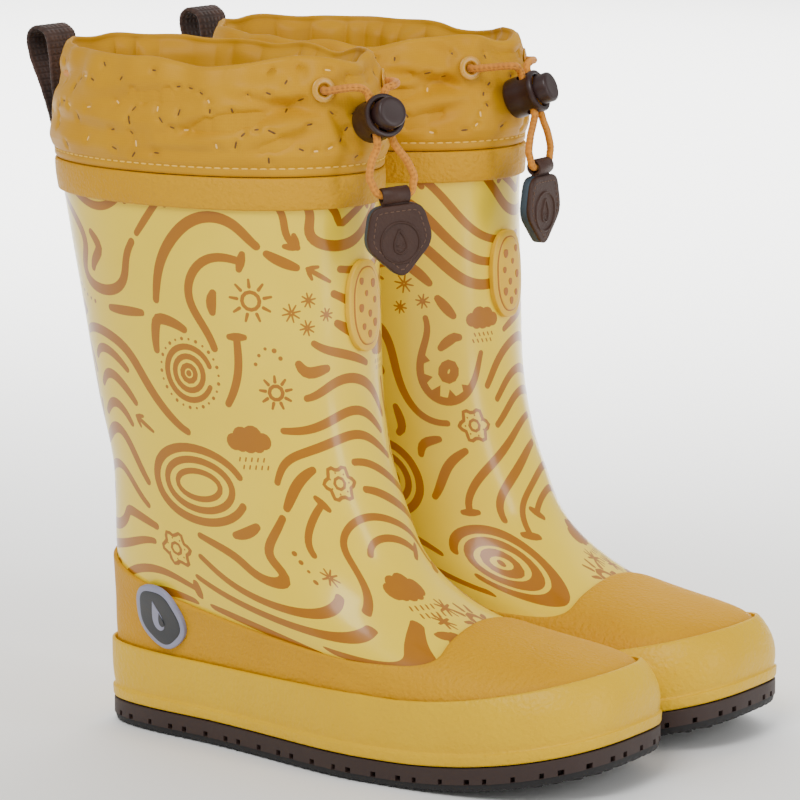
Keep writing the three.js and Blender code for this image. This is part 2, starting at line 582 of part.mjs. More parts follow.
// Pull loop: a strip of webbing that stands behind the cuff, both legs sewn in above the band.
function pullLoopGeometry() {
  const root = formPoint(0, SHAFT_TOP + 4).x - CUFF_BULGE - 0.6;
  const [out, high] = [PULL_LOOP_REACH, PULL_LOOP_TOP];
  const centre = [
    [-1.8, 2], [-4.5, 0.28 * high], [-0.75 * out, 0.52 * high], [-1.15 * out, 0.76 * high],
    [-1.22 * out, high - 3.4], [-0.95 * out, high - 0.7], [-0.55 * out, high - 2.6], [-0.4 * out, 0.8 * high],
    [-0.3 * out, 0.56 * high], [-2, 0.34 * high], [-0.2, 3.5],
  ].map(([x, z]) => new THREE.Vector3(root + x, SHAFT_TOP + z, 0));
  const curve = new THREE.CatmullRomCurve3(centre);
  const steps = 22;
  const across = (u) => {
    const t = curve.getTangent(u);
    return new THREE.Vector3(-t.y, t.x, 0).multiplyScalar(LOOP_WEBBING / 2);
  };
  const side = (sign) => Array.from({ length: steps + 1 }, (_, i) =>
    curve.getPoint(i / steps).addScaledVector(across(i / steps), sign));
  const edge = [...side(1), ...side(-1).toReversed()];
  const shape = new THREE.Shape(edge.map((p) => new THREE.Vector2(p.x, p.y)));
  const strip = new THREE.ExtrudeGeometry(shape, { depth: LOOP_WEBBING_WIDTH, bevelEnabled: false });
  return strip.rotateX(Math.PI / 2).translate(0, LOOP_WEBBING_WIDTH / 2, 0);
}

// Materials
const rubber = (color, roughness) => ({ color, roughness, metalness: 0 });
const LOOKS = {
  outsole: rubber(0x3d2c28, 0.75),
  foxing: rubber(0xf3c51d, 0.45),
  overlay: rubber(0xe8ac2e, 0.6),
  shaft: rubber(0xe0cf85, 0.3),
  band: rubber(0xe9ae3c, 0.55),
  fabric: rubber(0xdca52b, 0.7),
  lining: rubber(0xd9c9a2, 0.95),
  foam: rubber(0xb89b62, 0.9),
  webbing: rubber(0x3a2723, 0.95),
  plastic: rubber(0x3f2a2a, 0.5),
  cord: rubber(0xd08f35, 0.85),
  leather: rubber(0x4a2f27, 0.7),
  reflective: rubber(0xb7b9cf, 0.35),
  badge: rubber(0xf2c433, 0.5),
  steel: { color: 0x9a9a98, roughness: 0.35, metalness: 0.9 },
};

function makeBoot(prefix, hang) {
  const boot = new THREE.Group();
  const add = (name, geometry, look, matrix) => {
    const mesh = new THREE.Mesh(geometry, new THREE.MeshStandardMaterial(LOOKS[look]));
    mesh.name = prefix + name;
    if (matrix) mesh.applyMatrix4(matrix);
    boot.add(mesh);
  };
  add("outsole", outsoleGeometry(), "outsole");
  add("midsole", midsoleGeometry(), "foam");
  add("foxing", foxingGeometry(), "foxing");
  add("shaft", shaftGeometry(), "shaft");
  add("lining", liningGeometry(), "lining");
  add("insole", insoleGeometry(), "foam");
  add("overlay", overlayGeometry(), "overlay");
  add("top_band", topBandGeometry(), "band");
  add("cuff", cuffGeometry(), "fabric");

  const overlayFace = GAP + OVERLAY_WALL + GAP;
  const [stripLow, stripHigh] = [FOXING_HEEL_TOP + 1.2, OVERLAY_HEEL_TOP - 1.5];
  const strip = backStripGeometry(stripLow, stripHigh, BACK_STRIP_WIDTH, overlayFace, 0.8);
  add("back_strip", strip, "foxing");
  const [seamLow, seamHigh] = [OVERLAY_HEEL_TOP + 0.8, SHAFT_TOP - BAND_HEIGHT - 0.5];
  add("back_seam", backStripGeometry(seamLow, seamHigh, BACK_SEAM_WIDTH, GAP + 0.2, 0.6), "overlay");
  const heelBadge = badgeGeometry(HEEL_BADGE_SHARE, heelBadgeHeight, HEEL_BADGE, 2.2, overlayFace);
  add("heel_badge", heelBadge, "reflective");
  const shinBadge = badgeGeometry(0.5, SHAFT_TOP - SHIN_BADGE_DROP, SHIN_BADGE, 2.6, GAP + 0.15);
  add("shin_badge", shinBadge, "badge");

  eyeletShares.forEach((share, i) => {
    add(i ? "eyelet_inner" : "eyelet_outer", eyeletGeometry(share), "cord");
  });
  const lock = lockMatrix(hang);
  add("drawcord", drawcordGeometry(), "cord");
  add("cord_end_outer", cordEndGeometry(-1, lock), "cord");
  add("cord_end_inner", cordEndGeometry(1, lock), "cord");
  add("cord_loop", tube(loopRoute(lock, hang.yaw), CORD, 28), "cord");
  add("lock_body", lockBodyGeometry(), "plastic", lock);
  add("lock_button", lockButtonGeometry(), "plastic", lock);
  add("lock_spring", lockSpringGeometry(), "steel", lock);

  const tag = tagMatrix(lock, hang.yaw);
  const plateIn = STRAP_LEATHER / 2 + 0.3;
  add("tag_front", tagPlateGeometry(plateIn, TAG_LEATHER), "leather", tag);
  add("tag_back", tagPlateGeometry(-plateIn - TAG_LEATHER, TAG_LEATHER), "leather", tag);
  add("tag_strap", tagStrapGeometry(), "leather", tag);
  add("pull_loop", pullLoopGeometry(), "webbing");
  return boot;
}

const right = makeBoot("right_", RIGHT_LOCK);
const left = makeBoot("left_", LEFT_LOCK);
right.position.y = -PAIR_SPACING / 2;
left.position.y = PAIR_SPACING / 2;
left.scale.y = -1;

// The pair's origin is on the ground, in the middle of its length and width.
const pair = new THREE.Group().add(right, left);
const middle = new THREE.Box3().setFromObject(pair, true).getCenter(new THREE.Vector3());
right.position.x = -middle.x;
left.position.x = -middle.x;

export default pair;
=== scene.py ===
# %% [markdown]
# # A pair of children's rain boots
# Each boot is a glossy rubber leg on a moulded sole, with a gathered fabric cuff. The cuff is drawn
# in by an elastic cord that runs through a push-button lock and holds a leather tag.
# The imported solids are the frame: they say where every piece sits and what it moves with. Nearly
# every piece is then made again here, finer, on the same form, and takes its solid's place.

# %% The frame
import math
import random

import bpy
import numpy as np
from mathutils import Matrix, Vector
from mathutils.geometry import delaunay_2d_cdt


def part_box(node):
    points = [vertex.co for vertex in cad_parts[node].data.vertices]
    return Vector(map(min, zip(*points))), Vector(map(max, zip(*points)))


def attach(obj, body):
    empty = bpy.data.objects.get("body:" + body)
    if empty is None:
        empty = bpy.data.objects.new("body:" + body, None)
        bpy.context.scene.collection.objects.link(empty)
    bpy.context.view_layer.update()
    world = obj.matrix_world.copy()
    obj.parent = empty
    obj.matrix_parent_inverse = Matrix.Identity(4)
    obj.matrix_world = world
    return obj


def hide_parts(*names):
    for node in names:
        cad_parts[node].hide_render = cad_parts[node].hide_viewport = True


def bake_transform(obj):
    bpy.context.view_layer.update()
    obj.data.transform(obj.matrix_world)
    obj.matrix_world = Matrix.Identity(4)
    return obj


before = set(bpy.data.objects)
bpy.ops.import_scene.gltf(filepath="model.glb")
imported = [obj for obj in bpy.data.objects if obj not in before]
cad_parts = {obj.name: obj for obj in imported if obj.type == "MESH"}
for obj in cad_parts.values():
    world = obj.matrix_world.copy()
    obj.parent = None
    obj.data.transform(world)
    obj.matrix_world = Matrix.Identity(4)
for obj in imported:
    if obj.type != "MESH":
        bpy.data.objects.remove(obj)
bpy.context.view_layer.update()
MM = 0.001
print("solids in the frame:", len(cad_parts))

# %% [markdown]
# ## The boot's sizes
# The boot is described in millimetres in its own frame: heel at x = 0, toe towards +X, the ground
# at z = 0 and the outer side towards -Y. The right boot is moved into place and the left one is its
# mirror image, so every shape is worked out once.

# %% Sizes
SOLE_LENGTH, BALL_WIDTH, HEEL_WIDTH = 198.0, 77.0, 55.0
TOE_SKEW, TOE_SPRING, SPRING_START = 5.0, 10.0, 126.0
SHAFT_TOP, TOP_LENGTH, TOP_WIDTH, ANKLE_WIDTH = 192.0, 117.0, 79.5, 71.0
GAP, SHAFT_WALL, OVERLAY_WALL, FOXING_WALL = 0.35, 1.8, 1.1, 2.3
OUTSOLE_TOP, MIDSOLE_WALL, BAND_HEIGHT = 8.0, 2.6, 10.5
CUFF_HEIGHT, CHANNEL_RISE, FACING_DROP, CUFF_TUCK = 38.5, 28.0, 28.0, 10.0
CORD, LOOP_DROP, LOOP_HALF_WIDTH = 2.5, 18.0, 7.6
PAIR_SPACING = 85.0
WIDE = 300.0  # millimetres round the leg when it is laid out flat
HEEL_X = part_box("right_outsole")[0].x / MM  # the heel's place in the pair's frame
SIDES = {"right": 1.0, "left": -1.0}
FLIP = {side: np.array([1, mirror, 1]) for side, mirror in SIDES.items()}
HANG = {"right": (-35.0, -8.0), "left": (-4.0, 5.0)}  # each lock's yaw and shift to the inner side
FOOT_WALL = OVERLAY_WALL + FOXING_WALL + 2 * GAP


def lerp(a, b, t):
    return a + (b - a) * t


def circle(n):
    """The angles of n even steps round a circle."""
    return np.arange(n) / n * 2 * math.pi


def unit(vectors):
    return vectors / np.linalg.norm(vectors, axis=1, keepdims=True)


def beside(path):
    """The directions a quarter turn to the left of a flat path."""
    way = unit(np.gradient(path, axis=0))
    return np.column_stack([-way[:, 1], way[:, 0]])


def smooth(x, low, high):
    t = np.clip((np.asarray(x, float) - low) / (high - low), 0, 1)
    return t * t * (3 - 2 * t)


def place(points, side):
    """Points in the boot's frame, in millimetres, to the pair's frame, in metres."""
    p = np.array(points, float).reshape(-1, 3)
    mirror = SIDES[side]
    return np.column_stack([p[:, 0] + HEEL_X, p[:, 1] * mirror - mirror * PAIR_SPACING / 2, p[:, 2]]) * MM


# %% [markdown]
# ## The form
# A bootmaker pulls every layer over a last, so every layer has the same form at a different distance
# out. Here the last is a stack of level outlines, blended by a cubic. It is sampled once into a
# fine grid of places and outward directions, and every layer is read from that grid.

# %% The last
x0 = SOLE_LENGTH / 200  # places along the foot are given for a sole of 200 mm
ANKLE_Z = 64.0
heel, ball = HEEL_WIDTH / 2 - FOOT_WALL, BALL_WIDTH / 2 - FOOT_WALL
ankle, top = ANKLE_WIDTH / 2, TOP_WIDTH / 2
toe_x, cuff_top = SOLE_LENGTH - FOOT_WALL, SHAFT_TOP + CUFF_HEIGHT


def leg_z(share):
    return lerp(ANKLE_Z, SHAFT_TOP, share)


def back_at(share):
    return lerp(1.0, 96 * x0 - TOP_LENGTH, share)


def leg_half(share):
    return lerp(ankle, top, share)


# back x, z; front x, z; half width at heel, ball; widest at x; roundness of back, front
FORM = np.array([
    [FOOT_WALL, 8, toe_x, 8, heel, ball, 140 * x0, 5, 3],
    [FOOT_WALL - 1, 18, toe_x + 0.7, 18, heel + 1, ball + 0.3, 140 * x0, 4.8, 2.9],
    [FOOT_WALL - 1.2, 25, toe_x - 1.5, 25.5, heel + 2, ball, 137 * x0, 4.6, 2.7],
    [FOOT_WALL - 1.3, 30, toe_x - 5.5, 31, heel + 3, ball - 0.5, 131 * x0, 4.4, 2.5],
    [FOOT_WALL - 1.3, 34.5, toe_x - 13, 35, heel + 4, ball - 1, 120 * x0, 4.2, 2.4],
    [FOOT_WALL - 1.3, 39, 170 * x0, 39, heel + 5, ball - 1, 105 * x0, 3.9, 2.3],
    [FOOT_WALL - 1.3, 43.5, 151 * x0, 44, heel + 6.5, ball - 0.8, 90 * x0, 3.5, 2.2],
    [FOOT_WALL - 1.4, 49, 137 * x0, 49.5, ankle - 3.5, ankle - 1.2, 76 * x0, 3.1, 2.15],
    [FOOT_WALL - 1.6, 56, 125 * x0, 56.5, ankle - 1.8, ankle - 0.8, 65 * x0, 2.8, 2.1],
    [FOOT_WALL - 2.2, ANKLE_Z, 115.5 * x0, ANKLE_Z + 1, ankle - 0.8, ankle - 0.4, 58 * x0, 2.6, 2.1],
    [FOOT_WALL - 2.8, leg_z(0.11), 108.5 * x0, leg_z(0.11), ankle, ankle, 54 * x0, 2.4, 2.1],
    [FOOT_WALL - 4, leg_z(0.22), 102.4 * x0, leg_z(0.22), ankle + 0.5, ankle + 0.5, 51 * x0, 2.3, 2.1],
    [back_at(0.3), leg_z(0.38), 97.6 * x0, leg_z(0.38), leg_half(0.32), leg_half(0.45), 47 * x0, 2.2, 2.1],
    [back_at(0.6), leg_z(0.62), 96 * x0, leg_z(0.62), leg_half(0.62), leg_half(0.9), 43 * x0, 2.1, 2.1],
    [back_at(0.85), leg_z(0.84), 95.2 * x0, leg_z(0.84), leg_half(0.86), top, 40 * x0, 2.1, 2.1],
    [back_at(1), SHAFT_TOP, 96 * x0, SHAFT_TOP, top, top, 38 * x0, 2.1, 2.1],
    [back_at(1) + 0.5, cuff_top, 95.5 * x0, cuff_top, top, top, 38 * x0, 2.1, 2.1],
])


def form_at(height):
    """Every column of FORM at one height."""
    levels = FORM[:, 1]
    last = len(FORM) - 1
    row = int(np.clip(np.searchsorted(levels, height, side="right") - 1, 0, last - 1))
    a, b = FORM[row], FORM[row + 1]
    before, after = FORM[max(row - 1, 0)], FORM[min(row + 2, last)]
    span = levels[row + 1] - levels[row]
    u = (height - levels[row]) / span
    slope_a = (b - before) / (b[1] - before[1]) * span
    slope_b = (after - a) / (after[1] - a[1]) * span
    if u <= 0 or u >= 1:
        return a + slope_a * u if u <= 0 else b + slope_b * (u - 1)
    return ((2 * u**3 - 3 * u**2 + 1) * a + (u**3 - 2 * u**2 + u) * slope_a
            + (3 * u**2 - 2 * u**3) * b + (u**3 - u**2) * slope_b)


def outline(height, side):
    """One side of a level outline from the back to the front, and the length up to each point."""
    back_x, back_z, front_x, front_z, w_heel, w_ball, wide_x, round_back, round_front = form_at(height)
    steps = 140
    k = np.arange(2 * steps + 1)
    behind = k <= steps
    turn = np.where(behind, k, 2 * steps - k) / steps * math.pi / 2
    power = 2 / np.where(behind, round_back, round_front)
    x = wide_x + (np.where(behind, back_x, front_x) - wide_x) * np.abs(np.cos(turn)) ** power
    width = lerp(w_heel, w_ball, smooth(x, 0.2 * SOLE_LENGTH, 0.65 * SOLE_LENGTH))
    skew = TOE_SKEW * smooth(x, 0.5 * SOLE_LENGTH, SOLE_LENGTH)
    z = lerp(back_z, front_z, (x - back_x) / (front_x - back_x))
    points = np.column_stack([x, side * width * np.abs(np.sin(turn)) ** power + skew, z])
    lengths = np.concatenate([[0], np.cumsum(np.linalg.norm(np.diff(points, axis=0), axis=1))])
    return points, lengths


GRID_COLUMNS, GRID_TOP = 960, 240
grid_points = np.zeros((GRID_TOP + 1, GRID_COLUMNS, 3))
girths = np.zeros(GRID_TOP + 1)
half = GRID_COLUMNS // 2
for h in range(GRID_TOP + 1):
    for side in (-1, 1):
        points, lengths = outline(float(h), side)
        girths[h] += lengths[-1]
        at = np.linspace(0, lengths[-1], half + 1)
        line = np.column_stack([np.interp(at, lengths, points[:, i]) for i in range(3)])
        if side < 0:
            grid_points[h, :half + 1] = line
        else:
            grid_points[h, half:] = line[::-1][:half]
along = np.roll(grid_points, -4, 1) - np.roll(grid_points, 4, 1)
grid_facing = np.cross(along, np.gradient(grid_points, axis=0))
grid_facing /= np.linalg.norm(grid_facing, axis=2, keepdims=True)
print("the last is sampled at", grid_points.shape[0], "levels")


def read_grid(grid, share, height):
    """The grid's value between its own rows and columns."""
    h = np.clip(height, 0, GRID_TOP - 1e-6)
    s = np.mod(share, 1.0) * GRID_COLUMNS
    h_low, s_low = np.floor(h).astype(int), np.floor(s).astype(int) % GRID_COLUMNS
    fh, fs = (h - h_low)[..., None], (s - np.floor(s))[..., None]
    s_next = (s_low + 1) % GRID_COLUMNS
    low = grid[h_low, s_low] * (1 - fs) + grid[h_low, s_next] * fs
    high = grid[h_low + 1, s_low] * (1 - fs) + grid[h_low + 1, s_next] * fs
    return low * (1 - fh) + high * fh


def facing(share, height, level=False):
    share, height = np.broadcast_arrays(np.asarray(share, float), np.asarray(height, float))
    n = read_grid(grid_facing, share, height)
    if level:
        n = n * [1, 1, 0]
    return n / np.linalg.norm(n, axis=-1, keepdims=True)


def spring(x):
    return TOE_SPRING * np.maximum(0, (x - SPRING_START) / (SOLE_LENGTH - SPRING_START)) ** 2


def skin(share, height, out, level=False):
    """A point at a distance out from the last. Share runs 0 back, 0.25 outer side, 0.5 front."""
    share, height, out = np.broadcast_arrays(*(np.asarray(v, float) for v in (share, height, out)))
    p = read_grid(grid_points, share, height) + facing(share, height, level) * out[..., None]
    if level:
        p[..., 2] = height
    p[..., 2] += spring(p[..., 0])
    return p


def girth(height):
    return float(np.interp(height, np.arange(GRID_TOP + 1), girths))


# %% [markdown]
# ## Turning rows into a mesh
# A layer is a loft: rows of points, one above the other, all running the same way round. The rows
# either join into a tube with a wall, or end in two lids. Faces are wound so that they point out.

# %% Lofts
def rings(count, n):
    """Faces between rows of n points each, one row above the other."""
    return [(r * n + i, r * n + (i + 1) % n, (r + 1) * n + (i + 1) % n, (r + 1) * n + i)
            for r in range(count - 1) for i in range(n)]


def loft(rows, joined=True):
    rows = np.asarray(rows, float)
    count, n = rows.shape[:2]
    faces = rings(count, n)
    if joined:
        a = (count - 1) * n
        faces += [(a + i, a + (i + 1) % n, (i + 1) % n, i) for i in range(n)]
    else:
        for base, flip in ((0, False), ((count - 1) * n, True)):
            for i in range(n // 2):
                face = [base + i, base + i + 1, base + (n - i - 1) % n, base + (n - i) % n]
                face = list(dict.fromkeys(face))
                if len(face) > 2:
                    faces.append(tuple(face if flip else face[::-1]))
    return rows.reshape(-1, 3), faces


def signed_volume(points, faces):
    total = 0.0
    for f in faces:
        for i in range(1, len(f) - 1):
            total += np.dot(points[f[0]], np.cross(points[f[i]], points[f[i + 1]]))
    return total


def facing_out(points, faces):
    return faces if signed_volume(points, faces) > 0 else [f[::-1] for f in faces]


def linked(name, data):
    """A new object in the scene."""
    obj = bpy.data.objects.new(name, data)
    bpy.context.scene.collection.objects.link(obj)
    return obj


def plain_mesh(name, points, faces, edges=(), smooth=True):
    mesh = bpy.data.meshes.new(name)
    mesh.from_pydata([tuple(p) for p in points], list(edges), faces)
    mesh.polygons.foreach_set("use_smooth", [smooth] * len(mesh.polygons))
    return mesh


def new_mesh(name, points, faces, material, sharp=None):
    mesh = plain_mesh(name, points, faces)
    mesh.materials.append(material)
    if sharp:
        mesh.set_sharp_from_angle(angle=math.radians(sharp))
    mesh.validate()
    mesh.update()
    return linked(name, mesh)


def settle(obj, body, stands_for=()):
    """Puts a finished piece on its body and lets it stand for its solids."""
    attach(obj, body)
    if stands_for:
        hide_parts(*stands_for)
    return obj


def both(name, points, faces, material, part="boot", stands_for=None, sharp=None, extra=None):
    """The same piece on the right boot and, mirrored, on the left one."""
    if signed_volume(points, faces[:: max(1, len(faces) // 40000)]) < 0:
        faces = [f[::-1] for f in faces]
    made = []
    for side, mirror in SIDES.items():
        turned = faces if mirror > 0 else [f[::-1] for f in faces]
        obj = new_mesh(f"{side}_boot_{name}", place(points, side), turned, material, sharp=sharp)
        if extra:
            extra(obj, side)
        nodes = [f"{side}_{n}" for n in (stands_for or [])]
        made.append(settle(obj, f"{side}_{part}", nodes))
    print(name, len(faces), "faces on each boot")
    return made


# %% [markdown]
# ## Materials
# A material is a small graph of nodes that ends in one shader. Colours are written as sRGB hex
# values, as a colour chart gives them, and turned to the linear values that light is added up in.
# Every pattern is sized from the real thing: its scale is one over its size in metres.

# %% Colour and node helpers
def linear(hex_value):
    channels = [int(hex_value[i:i + 2], 16) / 255 for i in (1, 3, 5)]
    return tuple(c / 12.92 if c <= 0.04045 else ((c + 0.055) / 1.055) ** 2.4 for c in channels) + (1.0,)


def add(tree, kind, links=None, **settings):
    """Adds a node. Names that are its properties are set as such, the rest are input sockets."""
    made = tree.nodes.new(kind)
    for key, value in settings.items():
        if hasattr(made, key):
            setattr(made, key, value)
        else:
            made.inputs[key.replace("_", " ")].default_value = value
    for key, source in (links or {}).items():
        tree.links.new(source, made.inputs[key])
    return made


def new_material(name, colour, roughness, **settings):
    material = bpy.data.materials.new(name)
    material.use_nodes = True
    tree = material.node_tree
    shader = tree.nodes["Principled BSDF"]
    shader.inputs["Base Color"].default_value = linear(colour)
    shader.inputs["Roughness"].default_value = roughness
    for key, value in settings.items():
        shader.inputs[key.replace("_", " ")].default_value = value
    return material, tree, shader


def per_metre(size_mm):
    return 1000.0 / size_mm


def two_tone(tree, shader, factor, colour, dark):
    """The base colour goes from one colour to a darker one."""
    shade = add(tree, "ShaderNodeMix", {"Factor": factor}, data_type="RGBA")
    shade.inputs[6].default_value, shade.inputs[7].default_value = linear(colour), linear(dark)
    tree.links.new(shade.outputs[2], shader.inputs["Base Color"])


def relief(tree, shader, height, depth_mm):
    bump = add(tree, "ShaderNodeBump", {"Height": height}, Strength=1.0, Distance=depth_mm * MM)
    tree.links.new(bump.outputs["Normal"], shader.inputs["Normal"])


def moulded(name, colour, dark, roughness, grain_mm, depth_mm, blotch_mm=35, **settings):
    """Rubber or plastic from a mould with an etched grain, a little darker where it is blotchy."""
    material, tree, shader = new_material(name, colour, roughness, **settings)
    where = add(tree, "ShaderNodeTexCoord").outputs["Object"]
    blotch = add(tree, "ShaderNodeTexNoise", {"Vector": where}, Scale=per_metre(blotch_mm), Detail=3.0)
    two_tone(tree, shader, blotch.outputs["Fac"], colour, dark)
    cells = add(tree, "ShaderNodeTexVoronoi", {"Vector": where}, Scale=per_metre(grain_mm),
                feature="SMOOTH_F1")
    fine = add(tree, "ShaderNodeTexNoise", {"Vector": where}, Scale=per_metre(grain_mm * 0.6), Detail=2.0)
    both_grains = add(tree, "ShaderNodeMath", {0: cells.outputs["Distance"], 1: fine.outputs["Fac"]},
                      operation="ADD")
    relief(tree, shader, both_grains.outputs[0], depth_mm)
    return material


# %% [markdown]
# The rubbers first. The sole is black-brown natural rubber, moulded matt. The foxing, the strip that
# wraps the sole, has a fine leather grain and a satin face. The overlay above it is the same rubber
# in a more orange yellow, matter and finer in grain. The binding band is pebbled.

# %% Rubber
# Moulded natural rubber: soft highlights, dark, hardly any grain.
outsole_rubber = moulded("outsole_moulded_rubber", "#35241f", "#2b1d19", 0.6, 1.4, 0.03, IOR=1.45)
lug_rubber = moulded("tread_black_rubber", "#1d1b1c", "#161516", 0.7, 1.2, 0.03, IOR=1.45)
# Foxing rubber with a leather grain: bright, satin, creased in small cells.
foxing_rubber = moulded("foxing_grained_rubber", "#dfb500", "#cfa000", 0.4, 1.7, 0.22, IOR=1.32)
# Overlay rubber: matt, orange, fine grain.
overlay_rubber = moulded("overlay_matt_rubber", "#d09b00", "#bf8600", 0.56, 1.3, 0.28, IOR=1.3)
# Binding rubber: pebbled and satin.
band_rubber = moulded("binding_pebbled_rubber", "#cf9904", "#c08800", 0.5, 1.4, 0.34, IOR=1.3)
# EVA foam: matt, with fine closed cells.
eva_foam = moulded("insole_eva_foam", "#b89b62", "#a88a52", 0.9, 0.8, 0.06, IOR=1.45)
# Drawn spring steel.
spring_steel = moulded("lock_spring_steel", "#9a9a98", "#858583", 0.32, 0.6, 0.004, Metallic=1.0)

# %% [markdown]
# The leg is natural rubber under a clear gloss: a pale yellow ground with an ochre pattern printed
# on it before the gloss goes on, so both have the same shine. A coat layer on the shader gives the
# clear gloss, and hardly any grain is left.

# %% Glossy leg rubber and its printed ink
def glossy(name, colour, dark):
    material, tree, shader = new_material(name, colour, 0.34, IOR=1.34, Coat_Weight=0.45,
                                          Coat_Roughness=0.14, Coat_IOR=1.4)
    where = add(tree, "ShaderNodeTexCoord").outputs["Object"]
    blotch = add(tree, "ShaderNodeTexNoise", {"Vector": where}, Scale=per_metre(28), Detail=4.0)
    two_tone(tree, shader, blotch.outputs["Fac"], colour, dark)
    ripple = add(tree, "ShaderNodeTexNoise", {"Vector": where}, Scale=per_metre(9), Detail=2.0)
    relief(tree, shader, ripple.outputs["Fac"], 0.1)
    return material


leg_rubber = glossy("leg_glossy_rubber", "#f0d028", "#e8c41c")
leg_ink = glossy("leg_printed_ink", "#a86c00", "#995c00")

# %% [markdown]
# The cloths. The cuff is plain-woven nylon, coated, so it has a fine cross of threads and a soft
# sheen. Its weave follows the cloth and not space, so it reads a UV map laid out in metres.
# The real threads are about 0.25 mm apart, too fine to show, so they are drawn at 0.4 mm. One wave
# of the texture holds two threads, one that passes over and one that passes under.

# %% Woven cloth
def woven(name, colour, dark, thread_mm, roughness, depth_mm, sheen, mottle=0.35, weave=0.35,
          **settings):
    material, tree, shader = new_material(name, colour, roughness, Sheen_Weight=sheen,
                                          Sheen_Roughness=0.45, **settings)
    uv = add(tree, "ShaderNodeUVMap", uv_map="cloth").outputs["UV"]
    waves = []
    for direction in ("X", "Y"):
        waves.append(add(tree, "ShaderNodeTexWave", {"Vector": uv}, bands_direction=direction,
                         Scale=per_metre(thread_mm) / 20 * math.pi, Distortion=0.6,
                         Detail=1.0, Detail_Scale=2.0))
    cross = add(tree, "ShaderNodeMath", {0: waves[0].outputs["Fac"], 1: waves[1].outputs["Fac"]},
                operation="MULTIPLY")
    where = add(tree, "ShaderNodeTexCoord").outputs["Object"]
    blotch = add(tree, "ShaderNodeTexNoise", {"Vector": where}, Scale=per_metre(16), Detail=4.0)
    amount = add(tree, "ShaderNodeMapRange", {"Value": blotch.outputs["Fac"]}, From_Min=0.3,
                 From_Max=0.7, To_Min=0.0, To_Max=mottle)
    threads = add(tree, "ShaderNodeMath", {0: cross.outputs[0], 2: amount.outputs[0]},
                  operation="MULTIPLY_ADD")
    threads.inputs[1].default_value = weave
    two_tone(tree, shader, threads.outputs[0], colour, dark)
    relief(tree, shader, cross.outputs[0], depth_mm)
    return material


cuff_nylon = woven("cuff_woven_nylon", "#c48e00", "#ae7600", 0.4, 0.5, 0.02, 0.03, weave=0.2,
                   IOR=1.28)
lining_knit = woven("lining_brushed_knit", "#d6bd7c", "#bfa35f", 1.2, 0.95, 0.1, 0.3)
# Polyester webbing from two browns: coarse ribs across, with lighter threads in it.
webbing = woven("pull_loop_webbing", "#241511", "#4f372d", 1.1, 0.85, 0.25, 0.1, 0.8)
# Braided elastic: two ochres that cross, matt. The braid itself is in the mesh.
cord_braid = woven("braided_elastic", "#d88a1c", "#a05c10", 0.8, 0.75, 0.1, 0.1, 0.5)
# Sewing thread, paler than the cloth it holds.
pale_thread = new_material("pale_sewing_thread", "#ecc048", 0.7)[0]
brown_thread = new_material("tan_sewing_thread", "#5c4232", 0.75)[0]
# Each slit through the nylon is a dark brown mark, painted shade in the cut; a few are pale, painted
# highlights.
slit_shade = new_material("laser_cut_nylon_painted_shade", "#5c3804", 0.5)[0]
slit_highlight = new_material("laser_cut_nylon_painted_highlight", "#e9c070", 0.6)[0]

# %% [markdown]
# Leather, plastic and reflective film. The tag's leather is brown with fine cells and an edge
# painted blue-grey. The lock is moulded ABS from a spark-etched tool. The heel badge is reflective
# film, which has a pale grey-lilac border and a charcoal field.

# %% Leather, plastic, film
tag_leather = moulded("tag_brown_leather", "#3e2316", "#2f190f", 0.55, 0.8, 0.08, 6, IOR=1.42)
tag_backing = moulded("tag_blue_grey_backing", "#2f4250", "#283945", 0.6, 0.8, 0.06, 6)
lock_plastic = moulded("lock_spark_etched_abs", "#2d1815", "#261310", 0.4, 0.35, 0.02, 9, IOR=1.45)
eyelet_plastic = moulded("eyelet_soft_plastic", "#d09c2c", "#bd8820", 0.3, 0.9, 0.01, 6,
                         Subsurface_Weight=0.2, Subsurface_Scale=0.001)
film_border = moulded("reflective_film_border", "#8f90a6", "#7a7b94", 0.38, 0.5, 0.02, 5)
film_field = moulded("reflective_film_field", "#24272d", "#1e2126", 0.45, 0.5, 0.02, 5)
badge_rubber = moulded("badge_moulded_pvc", "#e2b400", "#d8a600", 0.4, 1.6, 0.01, 8, IOR=1.5)
badge_ink = moulded("badge_filled_pvc", "#b06a08", "#a05e06", 0.45, 1.6, 0.01, 8, IOR=1.5)
print("materials:", len(bpy.data.materials))

# %% [markdown]
# ## The cord, first of all
# A braided elastic cord 2.5 mm thick leaves one eyelet, runs down through the lock, hangs in a loop
# through the tag's strap, and goes back up through the lock to the other eyelet. It is limp, so its
# loop hangs straight down and opens by its own springiness. It is one piece, and its upper ends
# stretch when the lock is drawn away from the cuff.

# %% Where the eyelets and the lock are
def centripetal(points, steps):
    """A centripetal Catmull-Rom curve through the points, in equal steps of its own parameter."""
    p = np.array(points, float)
    p = np.vstack([2 * p[0] - p[1], p, 2 * p[-1] - p[-2]])
    out = []
    for k in range(steps + 1):
        t = k / steps * (len(p) - 3)
        i = min(int(t), len(p) - 4)
        w = t - i
        a, b, c, d = p[i:i + 4]
        dt = [max(np.sum((q - r) ** 2) ** 0.25, 1e-6) for q, r in ((a, b), (b, c), (c, d))]
        m1 = ((b - a) / dt[0] - (c - a) / (dt[0] + dt[1]) + (c - b) / dt[1]) * dt[1]
        m2 = ((c - b) / dt[1] - (d - b) / (dt[1] + dt[2]) + (d - c) / dt[2]) * dt[1]
        out.append((2 * w**3 - 3 * w**2 + 1) * b + (w**3 - 2 * w**2 + w) * m1
                   + (3 * w**2 - 2 * w**3) * c + (w**3 - w**2) * m2)
    return np.array(out)


